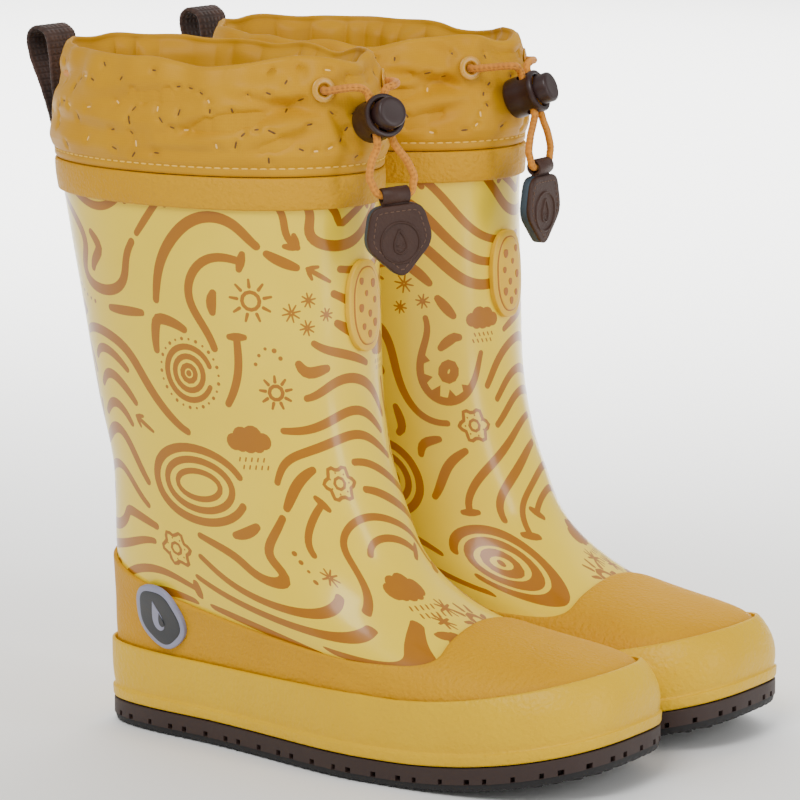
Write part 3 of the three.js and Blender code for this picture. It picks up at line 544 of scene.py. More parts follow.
def even(points, spacing):
    """The same path with points at an even spacing."""
    p = np.asarray(points, float)
    s = np.concatenate([[0], np.cumsum(np.linalg.norm(np.diff(p, axis=0), axis=1))])
    at = np.linspace(0, s[-1], max(2, int(round(s[-1] / spacing)) + 1))
    return np.column_stack([np.interp(at, s, p[:, i]) for i in range(p.shape[1])])


EYELET_Z = SHAFT_TOP + CHANNEL_RISE
EYELET_SHARE = 17.0 / girth(EYELET_Z)
EYELET_OUT = 0.75  # the eyelet's seat, out from the last
CORD_OUT = EYELET_OUT - 2.0 - CORD / 2  # the cord in its channel, behind the seat
CORD_STOP = 7.0 / girth(EYELET_Z)
LOCK_BELOW_RIM, LOCK_FORWARD, LOCK_TILT = 19.5, 12.0, -20
# The lock's cross holes: their place along the barrel, half their spacing and half their length.
BORE_X, STRAND_Y, BORE_HALF = 1.4, 2.8, 7.3
# The hang of the cord on each boot: how far the lock is twisted on its strands, and how far the
# loop swings aside.
TWIST, ASIDE = {"right": 11.0, "left": -6.0}, {"right": 3.3, "left": -2.0}
lock_place, loop_hold, lock_yaw = {}, {}, {}
for side, (yaw, aside) in HANG.items():
    centre = skin(0.5, cuff_top - LOCK_BELOW_RIM, 0) + [LOCK_FORWARD, aside, 0]
    centre[2] = cuff_top - LOCK_BELOW_RIM
    turn = Matrix.Rotation(math.radians(yaw), 4, "Z") @ Matrix.Rotation(math.radians(LOCK_TILT), 4, "Y")
    twist = Matrix.Rotation(math.radians(TWIST[side]), 4, "Z")
    lock_place[side] = np.array(Matrix.Translation(centre) @ twist @ turn)
    lock_yaw[side] = math.radians(yaw)
    across = np.array([-math.sin(lock_yaw[side]), math.cos(lock_yaw[side]), 0])
    loop_hold[side] = ((lock_place[side] @ [BORE_X, 0, -BORE_HALF, 1])[:3] - [0, 0, LOOP_DROP]
                       + across * ASIDE[side])
print("locks at", {k: [round(float(x), 1) for x in m[:3, 3]] for k, m in lock_place.items()})


def through(side, x, y, z):
    return (lock_place[side] @ [x, y, z, 1])[:3]


def cord_route(side):
    """From the outer eyelet, through lock and loop, to the inner eyelet."""
    yaw = lock_yaw[side]
    across = np.array([-math.sin(yaw), math.cos(yaw), 0])
    bottom = through(side, BORE_X, 0, -BORE_HALF)

    def down(s, width, drop):
        return bottom + across * (s * width + ASIDE[side] * (drop / LOOP_DROP) ** 0.8) - [0, 0, drop]

    def strand(s):
        share = 0.5 + s * EYELET_SHARE

        def channel(back):
            return skin(share + s * CORD_STOP * back, EYELET_Z, CORD_OUT, True)

        def eyelet(out):
            return skin(share, EYELET_Z, EYELET_OUT + out, True)

        return [channel(0.95), channel(0.45), eyelet(-1.3), eyelet(0.6), eyelet(3.0)] + [
            through(side, BORE_X, s * (STRAND_Y + y), BORE_HALF + z)
            for y, z in ((4.2, 3.0), (1.2, 2.0), (0.1, 0.2))] + [
            through(side, BORE_X, s * STRAND_Y, z) for z in (BORE_HALF - 2, 0, -BORE_HALF)] + [
            down(s, w, d) for w, d in ((STRAND_Y + 0.5, 2.5), (LOOP_HALF_WIDTH - 1.6, 7),
                                       (LOOP_HALF_WIDTH, 12.5), (LOOP_HALF_WIDTH - 0.5, LOOP_DROP - 4),
                                       (LOOP_HALF_WIDTH - 1.4, LOOP_DROP - 1.4),
                                       (LOOP_HALF_WIDTH - 2.8, LOOP_DROP - 0.2),
                                       (LOOP_HALF_WIDTH - 5.4, LOOP_DROP))]

    return even(centripetal(strand(-1) + strand(1)[::-1], 700), 0.3)


# %% [markdown]
# A cord is a small circle swept along a path. The circle is carried along without twisting, each
# ring turned only as much as the path bends. The braid is a relief on it: two sets of strands that
# wind opposite ways, so that the surface swells where they cross.

# %% Sweeping the braided cord
def carried_frames(path):
    tangent = unit(np.gradient(path, axis=0))
    side_axis = np.cross(tangent[0], [0.3, 0.2, 1.0])
    frames = []
    for t in tangent:
        side_axis = side_axis - t * np.dot(side_axis, t)
        side_axis /= np.linalg.norm(side_axis)
        frames.append((side_axis, np.cross(t, side_axis)))
    return tangent, np.array(frames)


CORD_SIDES = 24


def braided(path, diameter):
    """A braided tube closed by a small cone at each end, and how far along it each ring lies."""
    sides, strands, pitch, raised = CORD_SIDES, 5, 6.0, 0.1
    step = np.linalg.norm(np.diff(path, axis=0), axis=1)
    s = np.concatenate([[0], np.cumsum(step)])
    tangent, frames = carried_frames(path)
    angle = circle(sides)
    lay = 2 * math.pi * s[:, None] / pitch
    one = np.cos(strands * angle[None] + strands * lay)
    two = np.cos(strands * angle[None] - strands * lay)
    radius = diameter / 2 * (1 + raised * np.maximum(one, two) - raised * 0.6)
    rows = (path[:, None] + frames[:, 0][:, None] * (np.cos(angle)[None] * radius)[..., None]
            + frames[:, 1][:, None] * (np.sin(angle)[None] * radius)[..., None])
    n = len(path)
    faces = rings(n, sides)
    ends = np.array([path[0] - tangent[0] * 0.3, path[-1] + tangent[-1] * 0.3])
    faces += [(i, n * sides, (i + 1) % sides) for i in range(sides)]
    base = (n - 1) * sides
    faces += [(base + i, base + (i + 1) % sides, n * sides + 1) for i in range(sides)]
    faces = [f[::-1] for f in faces]
    return np.vstack([rows.reshape(-1, 3), ends]), faces, s


def cloth_map(obj, across, up):
    """A UV map in metres, so that a weave follows the cloth. One value of each for every point."""
    layer = obj.data.uv_layers.new(name="cloth")
    index = np.zeros(len(obj.data.loops), int)
    obj.data.loops.foreach_get("vertex_index", index)
    uv = np.column_stack([np.asarray(across)[index], np.asarray(up)[index]]) * MM
    layer.data.foreach_set("uv", uv.astype(np.float32).ravel())


free_cords = {}
for side in SIDES:
    route = cord_route(side)
    points, faces, s = braided(route, CORD)
    points = place(points, side)
    obj = new_mesh(f"{side}_elastic_cord", points, facing_out(points, faces), cord_braid)
    ring = np.tile(np.arange(CORD_SIDES) / CORD_SIDES * math.pi * CORD, len(route))
    cloth_map(obj, np.append(ring, [0, 0]), np.append(np.repeat(s, CORD_SIDES), [0, s[-1]]))
    middle = place([[0, 0, 0]], side)[0][1]
    eye = place([skin(0.5, EYELET_Z, EYELET_OUT, True)], side)[0]
    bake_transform(obj)
    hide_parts(*[f"{side}_{n}" for n in ("cord_end_outer", "cord_end_inner", "cord_loop")])
    free_cords[side] = (obj, place(route, side))
    print(f"{side} cord is {s[-1]:.1f} mm long, {len(obj.data.polygons)} faces")

# %% [markdown]
# ## Geometry Nodes for what repeats
# Stitches, tread lugs and the slits in the cuff repeat one small shape along a path or at given
# places on a surface. Two node trees do it. The first resamples a path at a spacing and sets a shape
# at each point, turned along the path and away from the surface. The second does the same at the
# points of a mesh, at a size that each point carries. Both end as real mesh.

# %% The two trees
def new_tree(name, inputs):
    tree = bpy.data.node_groups.new(name, "GeometryNodeTree")
    tree.interface.new_socket("Geometry", in_out="INPUT", socket_type="NodeSocketGeometry")
    for label, kind in inputs:
        tree.interface.new_socket(label, in_out="INPUT", socket_type=kind)
    tree.interface.new_socket("Geometry", in_out="OUTPUT", socket_type="NodeSocketGeometry")
    return tree, add(tree, "NodeGroupInput").outputs, add(tree, "NodeGroupOutput")


def carried(tree, name):
    """A vector that every point carries."""
    return add(tree, "GeometryNodeInputNamedAttribute", data_type="FLOAT_VECTOR", Name=name).outputs[0]


def finish_tree(tree, points, given, output, size):
    """Sets the shape on the points, facing the way their attributes say."""
    away, on = (carried(tree, name) for name in ("away", "onward"))
    turned = add(tree, "FunctionNodeAlignRotationToVector", {"Vector": away}, axis="Z")
    turned = add(tree, "FunctionNodeAlignRotationToVector", {"Rotation": turned.outputs[0], "Vector": on},
                 axis="X", pivot_axis="Z")
    shape = add(tree, "GeometryNodeObjectInfo", {"Object": given["Shape"]}).outputs["Geometry"]
    copies = add(tree, "GeometryNodeInstanceOnPoints",
                 {"Points": points, "Instance": shape, "Rotation": turned.outputs[0], "Scale": size})
    real = add(tree, "GeometryNodeRealizeInstances", {"Geometry": copies.outputs[0]})
    made = add(tree, "GeometryNodeSetMaterial",
               {"Geometry": real.outputs[0], "Material": given["Material"]})
    tree.links.new(made.outputs[0], output.inputs["Geometry"])


path_tree, given, output = new_tree("repeat_along_a_path", [
    ("Spacing", "NodeSocketFloat"), ("Size", "NodeSocketVector"),
    ("Shape", "NodeSocketObject"), ("Material", "NodeSocketMaterial")])
line = add(path_tree, "GeometryNodeMeshToCurve", {"Mesh": given["Geometry"]})
line = add(path_tree, "GeometryNodeResampleCurve", {"Curve": line.outputs[0], "Length": given["Spacing"]},
           mode="LENGTH")
finish_tree(path_tree, line.outputs[0], given, output, given["Size"])

place_tree, given, output = new_tree("set_at_places", [
    ("Size", "NodeSocketVector"), ("Shape", "NodeSocketObject"), ("Material", "NodeSocketMaterial")])
scaled = add(place_tree, "ShaderNodeVectorMath", {0: carried(place_tree, "own_size"), 1: given["Size"]},
             operation="MULTIPLY")
dots = add(place_tree, "GeometryNodeMeshToPoints", {"Mesh": given["Geometry"]})
finish_tree(place_tree, dots.outputs[0], given, output, scaled.outputs[0])


def repeat(tree, name, points, away, onward, shape, material, size, own_size=None, spacing=None):
    """Runs a tree on points in the pair's frame, in metres, and returns a plain mesh object."""
    n = len(points)
    edges = [] if own_size is not None else [(i, i + 1) for i in range(n - 1)]
    mesh = plain_mesh(name, points, [], edges)
    for label, values in (("away", away), ("onward", onward), ("own_size", own_size)):
        if values is None:
            continue
        layer = mesh.attributes.new(label, "FLOAT_VECTOR", "POINT")
        layer.data.foreach_set("vector", np.asarray(values, np.float32).ravel())
    base = linked(name + "_path", mesh)
    modifier = base.modifiers.new("repeat", "NODES")
    modifier.node_group = tree
    given = {"Size": size, "Shape": shape, "Material": material, "Spacing": spacing}
    for item in tree.interface.items_tree:
        if item.in_out == "INPUT" and given.get(item.name) is not None:
            modifier[item.identifier] = given[item.name]
    bpy.context.view_layer.update()
    made = base.evaluated_get(bpy.context.evaluated_depsgraph_get())
    mesh = bpy.data.meshes.new_from_object(made)
    mesh.name = name
    obj = linked(name, mesh)
    bpy.data.objects.remove(base)
    return obj


def small_shape(name, points, faces, flat=False):
    """A unit shape for the trees to repeat. It is removed again at the end."""
    obj = linked(name, plain_mesh(name, points, faces, smooth=not flat))
    obj.hide_render = True
    return obj


def bead():
    """A rounded rod of length, width and height one, lying along X."""
    sides, between = 6, (-0.42, -0.2, 0.2, 0.42)
    points = [(-0.5, 0, 0)]
    for x in between:
        r = 0.5 * (1 - (2 * x) ** 4) ** 0.5
        points += [(x, r * math.cos(2 * math.pi * i / sides), r * math.sin(2 * math.pi * i / sides))
                   for i in range(sides)]
    points.append((0.5, 0, 0))
    last = len(points) - 1
    faces = [(0, 1 + (i + 1) % sides, 1 + i) for i in range(sides)]
    for r in range(len(between) - 1):
        a = 1 + r * sides
        faces += [(a + i, a + (i + 1) % sides, a + sides + (i + 1) % sides, a + sides + i)
                  for i in range(sides)]
    a = last - sides
    faces += [(a + i, a + (i + 1) % sides, last) for i in range(sides)]
    return points, facing_out(np.array(points), faces)


stitch_shape = small_shape("stitch", *bead())


def block():
    """A block of size one with its edges cut off, for a tread lug."""
    bevel = 0.12
    a, b = 0.5, 0.5 - bevel
    rows = []
    for z, r in ((-a, b), (-b, a), (b, a), (a, b)):
        c = r - bevel
        rows.append([(r, -c, z), (r, c, z), (c, r, z), (-c, r, z), (-r, c, z), (-r, -c, z),
                     (-c, -r, z), (c, -r, z)])
    points, faces = loft(np.array(rows), joined=False)
    return points, facing_out(points, faces)


lug_shape = small_shape("lug", *block(), flat=True)
print("trees:", [t.name for t in bpy.data.node_groups])

# %% [markdown]
# ## The sole
# The outsole is one moulding. Its side shows a smooth brown wall with small square pockets in it,
# and below them a black lip with a softly scalloped edge. The wall is a loft whose ring is pushed
# in at each pocket. The lugs inside the lip are one block repeated round it, and bars across.

# %% Outsole
columns = 960
share = np.arange(columns) / columns
POCKET_EVERY, POCKET_WIDE, POCKET_TALL, POCKET_DEEP = 8.2, 1.35, 1.7, 2.6
LUG_HEIGHT, LIP, SCALLOP_DEEP, SCALLOP_EVERY = 2.3, 2.7, 0.45, 4.0
ring = skin(share, OUTSOLE_TOP, FOOT_WALL, True)
walked = np.concatenate([[0], np.cumsum(np.linalg.norm(np.diff(ring, axis=0), axis=1))])
edge_length = walked[-1] + np.linalg.norm(ring[0] - ring[-1])
pockets = int(round(edge_length / POCKET_EVERY / 3)) * 3
# The pockets come in threes: two close together, then a wider step.
pitch = edge_length / pockets
centres = np.array([pitch * (k + (0.0, -0.26, -0.12)[k % 3]) for k in range(pockets)])
scallops = 3 * round(edge_length / SCALLOP_EVERY / 3)
scallop = SCALLOP_DEEP * np.abs(np.sin(math.pi * walked / edge_length * scallops))
away_from = np.min(np.abs((walked[:, None] - centres[None] + edge_length / 2) % edge_length
                          - edge_length / 2), axis=1)
pushed_in = np.where(away_from < POCKET_WIDE / 2, POCKET_DEEP, 0.0)


def sole_row(z, out):
    p = skin(share, OUTSOLE_TOP, out, True)
    p[:, 2] = z + spring(p[:, 0])
    return p


# From the sunk tread, over the scalloped lip and the pockets, up to the wall's top: height, inset.
rows = [sole_row(z, FOOT_WALL - inset) for z, inset in (
    (LUG_HEIGHT - 0.4, 6), (LUG_HEIGHT - 0.4, 4.2), (scallop + 0.3, 4.0), (scallop, 3.4), (scallop, 1.5),
    (scallop + 0.35, 0.8), (1.6, 0.45), (LIP - 0.15, 0.3), (LIP - 0.1, 0), (LIP, 0),
    (LIP + 0.01, pushed_in), (LIP + POCKET_TALL, pushed_in), (LIP + POCKET_TALL + 0.01, 0), (6.4, 0),
    (7.7, 0.05), (OUTSOLE_TOP, 0.35))]
points, faces = loft(rows, joined=False)


def black_below(obj, side):
    """The lip below the pockets takes the black tread rubber."""
    obj.data.materials.append(lug_rubber)
    height = np.array([p.center[2] for p in obj.data.polygons]) / MM
    x = (np.array([p.center[0] for p in obj.data.polygons]) - place([[0, 0, 0]], side)[0][0]) / MM
    obj.data.polygons.foreach_set("material_index", (height - spring(x) < LIP - 0.12).astype(np.int32))


both("outsole", points, faces, outsole_rubber, stands_for=["outsole"], sharp=40,
     extra=black_below)

middles = (centres + np.roll(centres, -1)) / 2
middles[-1] = (centres[-1] + centres[0] + edge_length) / 2
at_share = np.interp(middles % edge_length, np.append(walked, edge_length), np.append(share, 1.0))
gaps = np.diff(np.append(centres, centres[0] + edge_length))
lug_points = skin(at_share, OUTSOLE_TOP, FOOT_WALL - 7.6, True)
lug_points[:, 2] = LUG_HEIGHT / 2 + spring(lug_points[:, 0])
out_facing = facing(at_share, OUTSOLE_TOP, True)
lug_sizes = np.column_stack([np.full(len(gaps), 7.0), gaps - 1.5, np.full(len(gaps), LUG_HEIGHT)])
# The middle of the sole has bars across it that stop short of the edge lugs.
BAR_EVERY, BAR_CLEAR = 9.0, 9.5
for x in np.arange(16, SOLE_LENGTH - 14, BAR_EVERY):
    edge = ring[np.abs(ring[:, 0] - x) < 1.5]
    low, high = edge[:, 1].min() + BAR_CLEAR, edge[:, 1].max() - BAR_CLEAR
    if high - low > 12:
        for y, wide in ((low + (high - low) * 0.23, 0.42), (low + (high - low) * 0.77, 0.42)):
            lug_points = np.vstack([lug_points, [x, y, LUG_HEIGHT / 2 + float(spring(np.array(x)))]])
            out_facing = np.vstack([out_facing, [1, 0, 0]])
            lug_sizes = np.vstack([lug_sizes, [5.5, (high - low) * wide, LUG_HEIGHT]])
for side in SIDES:
    up = np.tile([0.0, 0.0, 1.0], (len(lug_points), 1))
    obj = repeat(place_tree, f"{side}_tread_lugs", place(lug_points, side), up, out_facing * FLIP[side],
                 lug_shape, lug_rubber, (MM, MM, MM), lug_sizes)
    settle(obj, f"{side}_boot")
print(pockets, "pockets,", len(lug_points), "lugs on each sole")

# %% [markdown]
# ## The foot's outer layers
# The overlay is a thin cap of rubber over the heel and the toe, with a wavy upper edge. The foxing
# is the thick strip that joins it all to the sole: it has a rib along its foot, where it swells.
# Each is a loft of one section carried round the last, with every edge rounded over.

# %% Foxing and overlay
share = np.arange(720) / 720
from_back = 1 - np.abs(1 - 2 * share)
foxing_top = lerp(29.0, 28.0, smooth(from_back, 0, 0.45)) + 0.5 * smooth(from_back, 0.62, 1)
overlay_top = lerp(61.0, 38.5, smooth(from_back, 0, 0.66)) + 8.5 * smooth(from_back, 0.72, 1)
FOXING_IN = OVERLAY_WALL + 2 * GAP + 0.1


def level_row(height, out):
    return skin(share, height, out, True)


face = FOOT_WALL - 0.75
section = [level_row(height, out) for height, out in (
    (8.35, FOOT_WALL - 0.7), (8.6, FOOT_WALL - 0.1), (9.2, FOOT_WALL + 0.15), (11.6, FOOT_WALL + 0.1),
    (12.1, FOOT_WALL), (12.5, face + 0.1), (12.9, face - 0.15), (13.4, face - 0.05))]
for t in (0.15, 0.3, 0.45, 0.6, 0.75, 0.9):
    section.append(skin(share, lerp(13.2, foxing_top - 0.8, t), face + 0.2 * math.sin(math.pi * t)))
section += [skin(share, foxing_top - 0.75, face), skin(share, foxing_top - 0.3, face - 0.1),
            skin(share, foxing_top - 0.05, face - 0.4), skin(share, foxing_top, face - 0.9),
            skin(share, foxing_top - 0.6, FOXING_IN), skin(share, 20.0, FOXING_IN),
            level_row(9.0, FOXING_IN)]
points, faces = loft(section)
both("foxing", points, faces, foxing_rubber, stands_for=["foxing"], sharp=50)

start, outer = 17.0, GAP + OVERLAY_WALL
section = [skin(share, start, GAP + 0.1), skin(share, start, outer)]
for t in np.linspace(0.06, 1, 26):
    section.append(skin(share, lerp(start, overlay_top - 0.9, t), outer))
section += [skin(share, overlay_top - 0.45, outer - 0.05), skin(share, overlay_top - 0.12, outer - 0.25),
            skin(share, overlay_top, outer - 0.6), skin(share, overlay_top - 0.1, GAP - 0.2)]
for t in (0.75, 0.5, 0.25):
    section.append(skin(share, lerp(start, overlay_top - 0.9, t), GAP - 0.25))
points, faces = loft(section)
both("overlay", points, faces, overlay_rubber, stands_for=["overlay"], sharp=50)

# %% [markdown]
# ## Inside the boot
# A brushed knit lining is bonded to the rubber, and a soft insole lies loose on the bottom. Both
# are seen only down the leg, so they are plain lofts with cloth and foam on them.

# %% Lining and insole
share = np.arange(240) / 240
lining_out = -SHAFT_WALL - GAP
lining_low = OUTSOLE_TOP + GAP + MIDSOLE_WALL + GAP + SHAFT_WALL + GAP
levels = np.concatenate([[lining_low + 2.2], np.linspace(18, 181, 46)])
section = [level_row(lining_low, lining_out - 3)] + [skin(share, h, lining_out) for h in levels]
section += [skin(share, h, lining_out - 1.2) for h in levels[::-1]]
section += [level_row(lining_low + 1.4, lining_out - 4.4)]
points, faces = loft(section, joined=False)
rise = np.concatenate([[lining_low], levels, levels[::-1], [lining_low]])
lining_uv = (np.tile(share * WIDE, len(section)), np.repeat(rise, len(share)))
both("lining", points, faces, lining_knit, stands_for=["lining"],
     extra=lambda obj, side: cloth_map(obj, *lining_uv))

insole_low, insole_out = lining_low + 1.4 + GAP, lining_out - 1.9
section = [level_row(insole_low, insole_out - 3), level_row(insole_low + 2.2, insole_out - 0.3),
           level_row(insole_low + 3, insole_out - 0.4), level_row(insole_low + 3.5, insole_out - 1.2),
           level_row(insole_low + 3.3, insole_out - 6)]
points, faces = loft(section, joined=False)
both("insole", points, faces, eva_foam, stands_for=["insole"])

# %% [markdown]
# ## The printed leg
# The pattern is brush strokes that flow round the leg like wood grain: they bend round a few ovals
# and never cross. A flow field gives the direction at each place. A stroke is traced along it from a
# seed, and the next seed lies one spacing beside it, which fills the leg evenly. Small marks such as
# suns, clouds, arrows and stars sit in clear spots that the strokes keep away from.
# The leg is unrolled to a flat sheet for this: u runs round it and v is the height.

# %% The flow of the strokes
LEG_LOW, LEG_HIGH = 22.0, SHAFT_TOP
PRINT_LOW, PRINT_HIGH = 31.0, 184.0
SPACING, STROKE = 8.6, 3.5
# Ovals that the strokes run round: place, half width and half height, strength.
OVALS = [(84, 127, 12, 12, 44), (79, 90, 20, 12, 40), (124, 118, 12, 14, 22), (102, 58, 26, 9, 24),
         (38, 152, 19, 9, 24), (130, 170, 15, 7, 16), (24, 118, 10, 15, 34), (36, 70, 14, 8, 16),
         (178, 112, 12, 11, 26), (208, 80, 14, 13, 40), (180, 53, 14, 10, 34), (254, 126, 18, 11, 36),
         (226, 160, 17, 8, 22), (282, 88, 10, 14, 24)]
# Clear spots for the small marks: kind, place and size.
MARKS = [("sun", 109, 152, 5.6), ("star", 122, 148, 2.5), ("star", 128, 152, 2.0), ("star", 127, 143, 2.1),
         ("star", 134, 147, 1.8), ("sun", 115, 122, 4.4), ("cloud", 103, 106, 8.4), ("cloud", 139, 58, 7.0),
         ("flower", 132, 92, 6.4), ("star", 118, 62, 2.2), ("flower", 63, 67, 6.6), ("arrow", 60, 108, 4.6),
         ("sun", 151, 47, 4.2), ("star", 146, 52, 2.0), ("star", 140, 49, 1.8), ("arrow", 132, 160, 5.0),
         ("sun", 203, 152, 5.4), ("star", 190, 147, 2.6), ("star", 184, 141, 2.0), ("star", 192, 139, 1.8),
         ("flower", 170, 98, 6.4), ("cloud", 222, 108, 8.0), ("cloud", 162, 134, 7.2),
         ("arrow", 244, 148, 5.6), ("flower", 262, 84, 6.5), ("star", 270, 152, 2.4),
         ("star", 275, 146, 2.0)]
# Targets: nested rings drawn whole, with their half widths and half heights.
TARGETS = [(84, 127, [(8.8, 8.8, 2.2), (5.6, 5.6, 2.0), (2.6, 2.6, 1.9)]),
           (79, 90, [(18.5, 12.2, 3.1), (13.6, 8.3, 2.4), (9.0, 4.6, 2.0)]),
           (180, 53, [(13.5, 10.0, 3.0), (9.2, 6.4, 2.6), (4.6, 3.2, 2.4)]),
           (254, 126, [(15.0, 10.5, 3.0), (10.2, 6.6, 2.5), (5.2, 3.0, 2.2)]),
           (208, 80, [(12.5, 12.5, 2.9), (8.4, 8.4, 2.4), (4.2, 4.2, 2.2)]),
           (24, 118, [(8.0, 13.0, 2.8), (4.4, 8.6, 2.3)])]
KEEP_AWAY = {"sun": 2.0, "star": 1.7, "cloud": 1.35, "flower": 1.25, "arrow": 1.2}


def flow_at(u, v):
    """The unit direction of a stroke at a place: along the contour of a hilly field."""
    wave = math.cos(2 * math.pi * u / 96 + v / 40)
    du, dv = 12 * 2 * math.pi / 96 * wave, 1 + 12 / 40 * wave
    for eu, ev, su, sv, strength in OVALS:
        a, b = u - eu, v - ev
        g = strength * math.exp(-(a * a / su**2 + b * b / sv**2) / 2)
        du -= g * a / su**2
        dv -= g * b / sv**2
    n = math.hypot(du, dv) + 1e-9
    return dv / n, -du / n


drawn = {}  # the points of the strokes so far, by cell


def too_close(u, v, gap, own):
    cu, cv = int(u // SPACING), int(v // SPACING)
    for i in (cu - 1, cu, cu + 1):
        for j in (cv - 1, cv, cv + 1):
            for pu, pv, line in drawn.get((i, j), ()):
                if line != own and (pu - u) ** 2 + (pv - v) ** 2 < gap * gap:
                    return True
    return False


def clear(u, v):
    if not (-3 < u < WIDE + 3 and PRINT_LOW < v < PRINT_HIGH):
        return False
    for mu, mv, nested in TARGETS:
        if math.hypot((u - mu) / (nested[0][0] + 5.2), (v - mv) / (nested[0][1] + 5.2)) < 1:
            return False
    return all((u - mu) ** 2 + (v - mv) ** 2 > (KEEP_AWAY[kind] * size + 1.6) ** 2
               for kind, mu, mv, size in MARKS)


def trace(u0, v0, own):
    halves = []
    for sense in (1, -1):
        u, v, line = u0, v0, []
        while clear(u, v) and not too_close(u, v, 0.66 * SPACING, own) and len(line) < 260:
            line.append((u, v))
            if sense > 0 and len(line) > 22 and math.hypot(u - u0, v - v0) < 1.1:
                return line + [(u0, v0)]
            fu, fv = flow_at(u, v)
            fu, fv = flow_at(u + 0.4 * sense * fu, v + 0.4 * sense * fv)
            u, v = u + 0.8 * sense * fu, v + 0.8 * sense * fv
        halves.append(line)
    return halves[1][::-1] + halves[0][1:]


lines = []
queue = [(u, v + nested[0][1] + 5.6) for u, v, nested in TARGETS]
queue += [(eu, ev + 2.6) for eu, ev, *_ in OVALS]
queue += [(140, 96), (8, 60), (290, 120)]
while queue:
    u, v = queue.pop(0)
    if not clear(u, v) or too_close(u, v, 0.97 * SPACING, -1):
        continue
    line = trace(u, v, len(lines))
    if len(line) < 9:
        continue
    for pu, pv in line:
        drawn.setdefault((int(pu // SPACING), int(pv // SPACING)), []).append((pu, pv, len(lines)))
    lines.append(np.array(line))
    for pu, pv in line[::4]:
        fu, fv = flow_at(pu, pv)
        queue += [(pu - fv * SPACING, pv + fu * SPACING), (pu + fv * SPACING, pv - fu * SPACING)]
print(len(lines), "flow lines,", int(sum(len(x) for x in lines) * 0.8), "mm long in all")

# %% [markdown]
# Each flow line is cut into strokes of different lengths, and every stroke gets a manner: most are
# plain with a soft taper, some are a row of dots, some carry teeth, a bar across their end or an
# arrow head. All of it is flat shapes with a few corners each.

# %% The shapes of ink
dice = random.Random(11)
ink = []  # convex polygons


def dot(u, v, r, corners=10):
    ink.append([(u + r * math.cos(2 * math.pi * k / corners), v + r * math.sin(2 * math.pi * k / corners))
                for k in range(corners)])


def brush(line, width, taper=0.62, tail=None):
    """A stroke along a line, with round ends, thinner towards them."""
    line = even(line, 1.5)
    n = len(line)
    way = np.gradient(line, axis=0)
    way /= np.linalg.norm(way, axis=1, keepdims=True) + 1e-9
    t = np.linspace(0, 1, n)
    half = width / 2 * (taper + (1 - taper) * np.sin(math.pi * np.clip(t, 0.02, 0.98)) ** 0.55)
    if tail:
        half = width / 2 * lerp(1.0, tail, t)
    side = np.column_stack([-way[:, 1], way[:, 0]]) * half[:, None]
    left, right = line + side, line - side
    for k in range(n - 1):
        ink.append([tuple(right[k]), tuple(right[k + 1]), tuple(left[k + 1]), tuple(left[k])])
    dot(*line[0], half[0])
    dot(*line[-1], half[-1])


def straight(u, v, angle, length, width, **how):
    step = np.array([math.cos(angle), math.sin(angle)])
    brush(np.array([[u, v], [u, v] + step * length / 2, [u, v] + step * length]), width, **how)


def ring_line(u, v, r, lobes=0, depth=0.0, squeeze=1.0):
    a = np.linspace(0, 2 * math.pi, 40)
    reach = r * (1 + depth * np.cos(lobes * a))
    return np.column_stack([u + reach * np.cos(a), v + squeeze * reach * np.sin(a)])


def mark(kind, u, v, r):
    if kind == "sun":
        brush(ring_line(u, v, r * 0.52), 1.3, taper=1)
        for k in range(9):
            a = 2 * math.pi * k / 9 + 0.2
            straight(u + r * 0.82 * math.cos(a), v + r * 0.82 * math.sin(a), a, r * 0.42, 1.2, tail=0.7)
    elif kind == "star":
        for k in range(8):
            a = math.pi * k / 4 + 0.2
            straight(u + 0.2 * r * math.cos(a), v + 0.2 * r * math.sin(a), a, r, 0.75, tail=0.7)
    elif kind == "cloud":
        for du, dv, lobe in ((-0.62, -0.05, 0.34), (-0.25, 0.16, 0.4), (0.2, 0.2, 0.42), (0.62, 0.0, 0.34),
                             (0.0, -0.12, 0.36), (-0.35, -0.16, 0.28), (0.36, -0.16, 0.3)):
            dot(u + du * r, v + dv * r, lobe * r, 14)
        for k in range(5):
            for row in (0, 1):
                straight(u + (k - 2 + 0.4 * row) * r * 0.26, v - r * (0.66 + 0.3 * row), -2.0,
                         r * 0.14, 0.8)
    elif kind == "flower":
        brush(ring_line(u, v, r * 0.78, 6, 0.18), 1.3, taper=1)
        brush(ring_line(u, v, r * 0.3), 1.1, taper=1)
        for k in range(7):
            dot(u + r * 0.55 * math.cos(k * 0.9), v + r * 0.55 * math.sin(k * 0.9), 0.35, 6)
    elif kind == "arrow":
        a = 0.3 if int(u) % 2 else 2.6
        tip = np.array([u + r * 0.9 * math.cos(a), v + r * 0.9 * math.sin(a)])
        straight(u - r * 0.9 * math.cos(a), v - r * 0.9 * math.sin(a), a, 1.8 * r, 1.7)
        for turn in (2.5, -2.5):
            straight(*tip, a + turn, r * 0.75, 1.6)


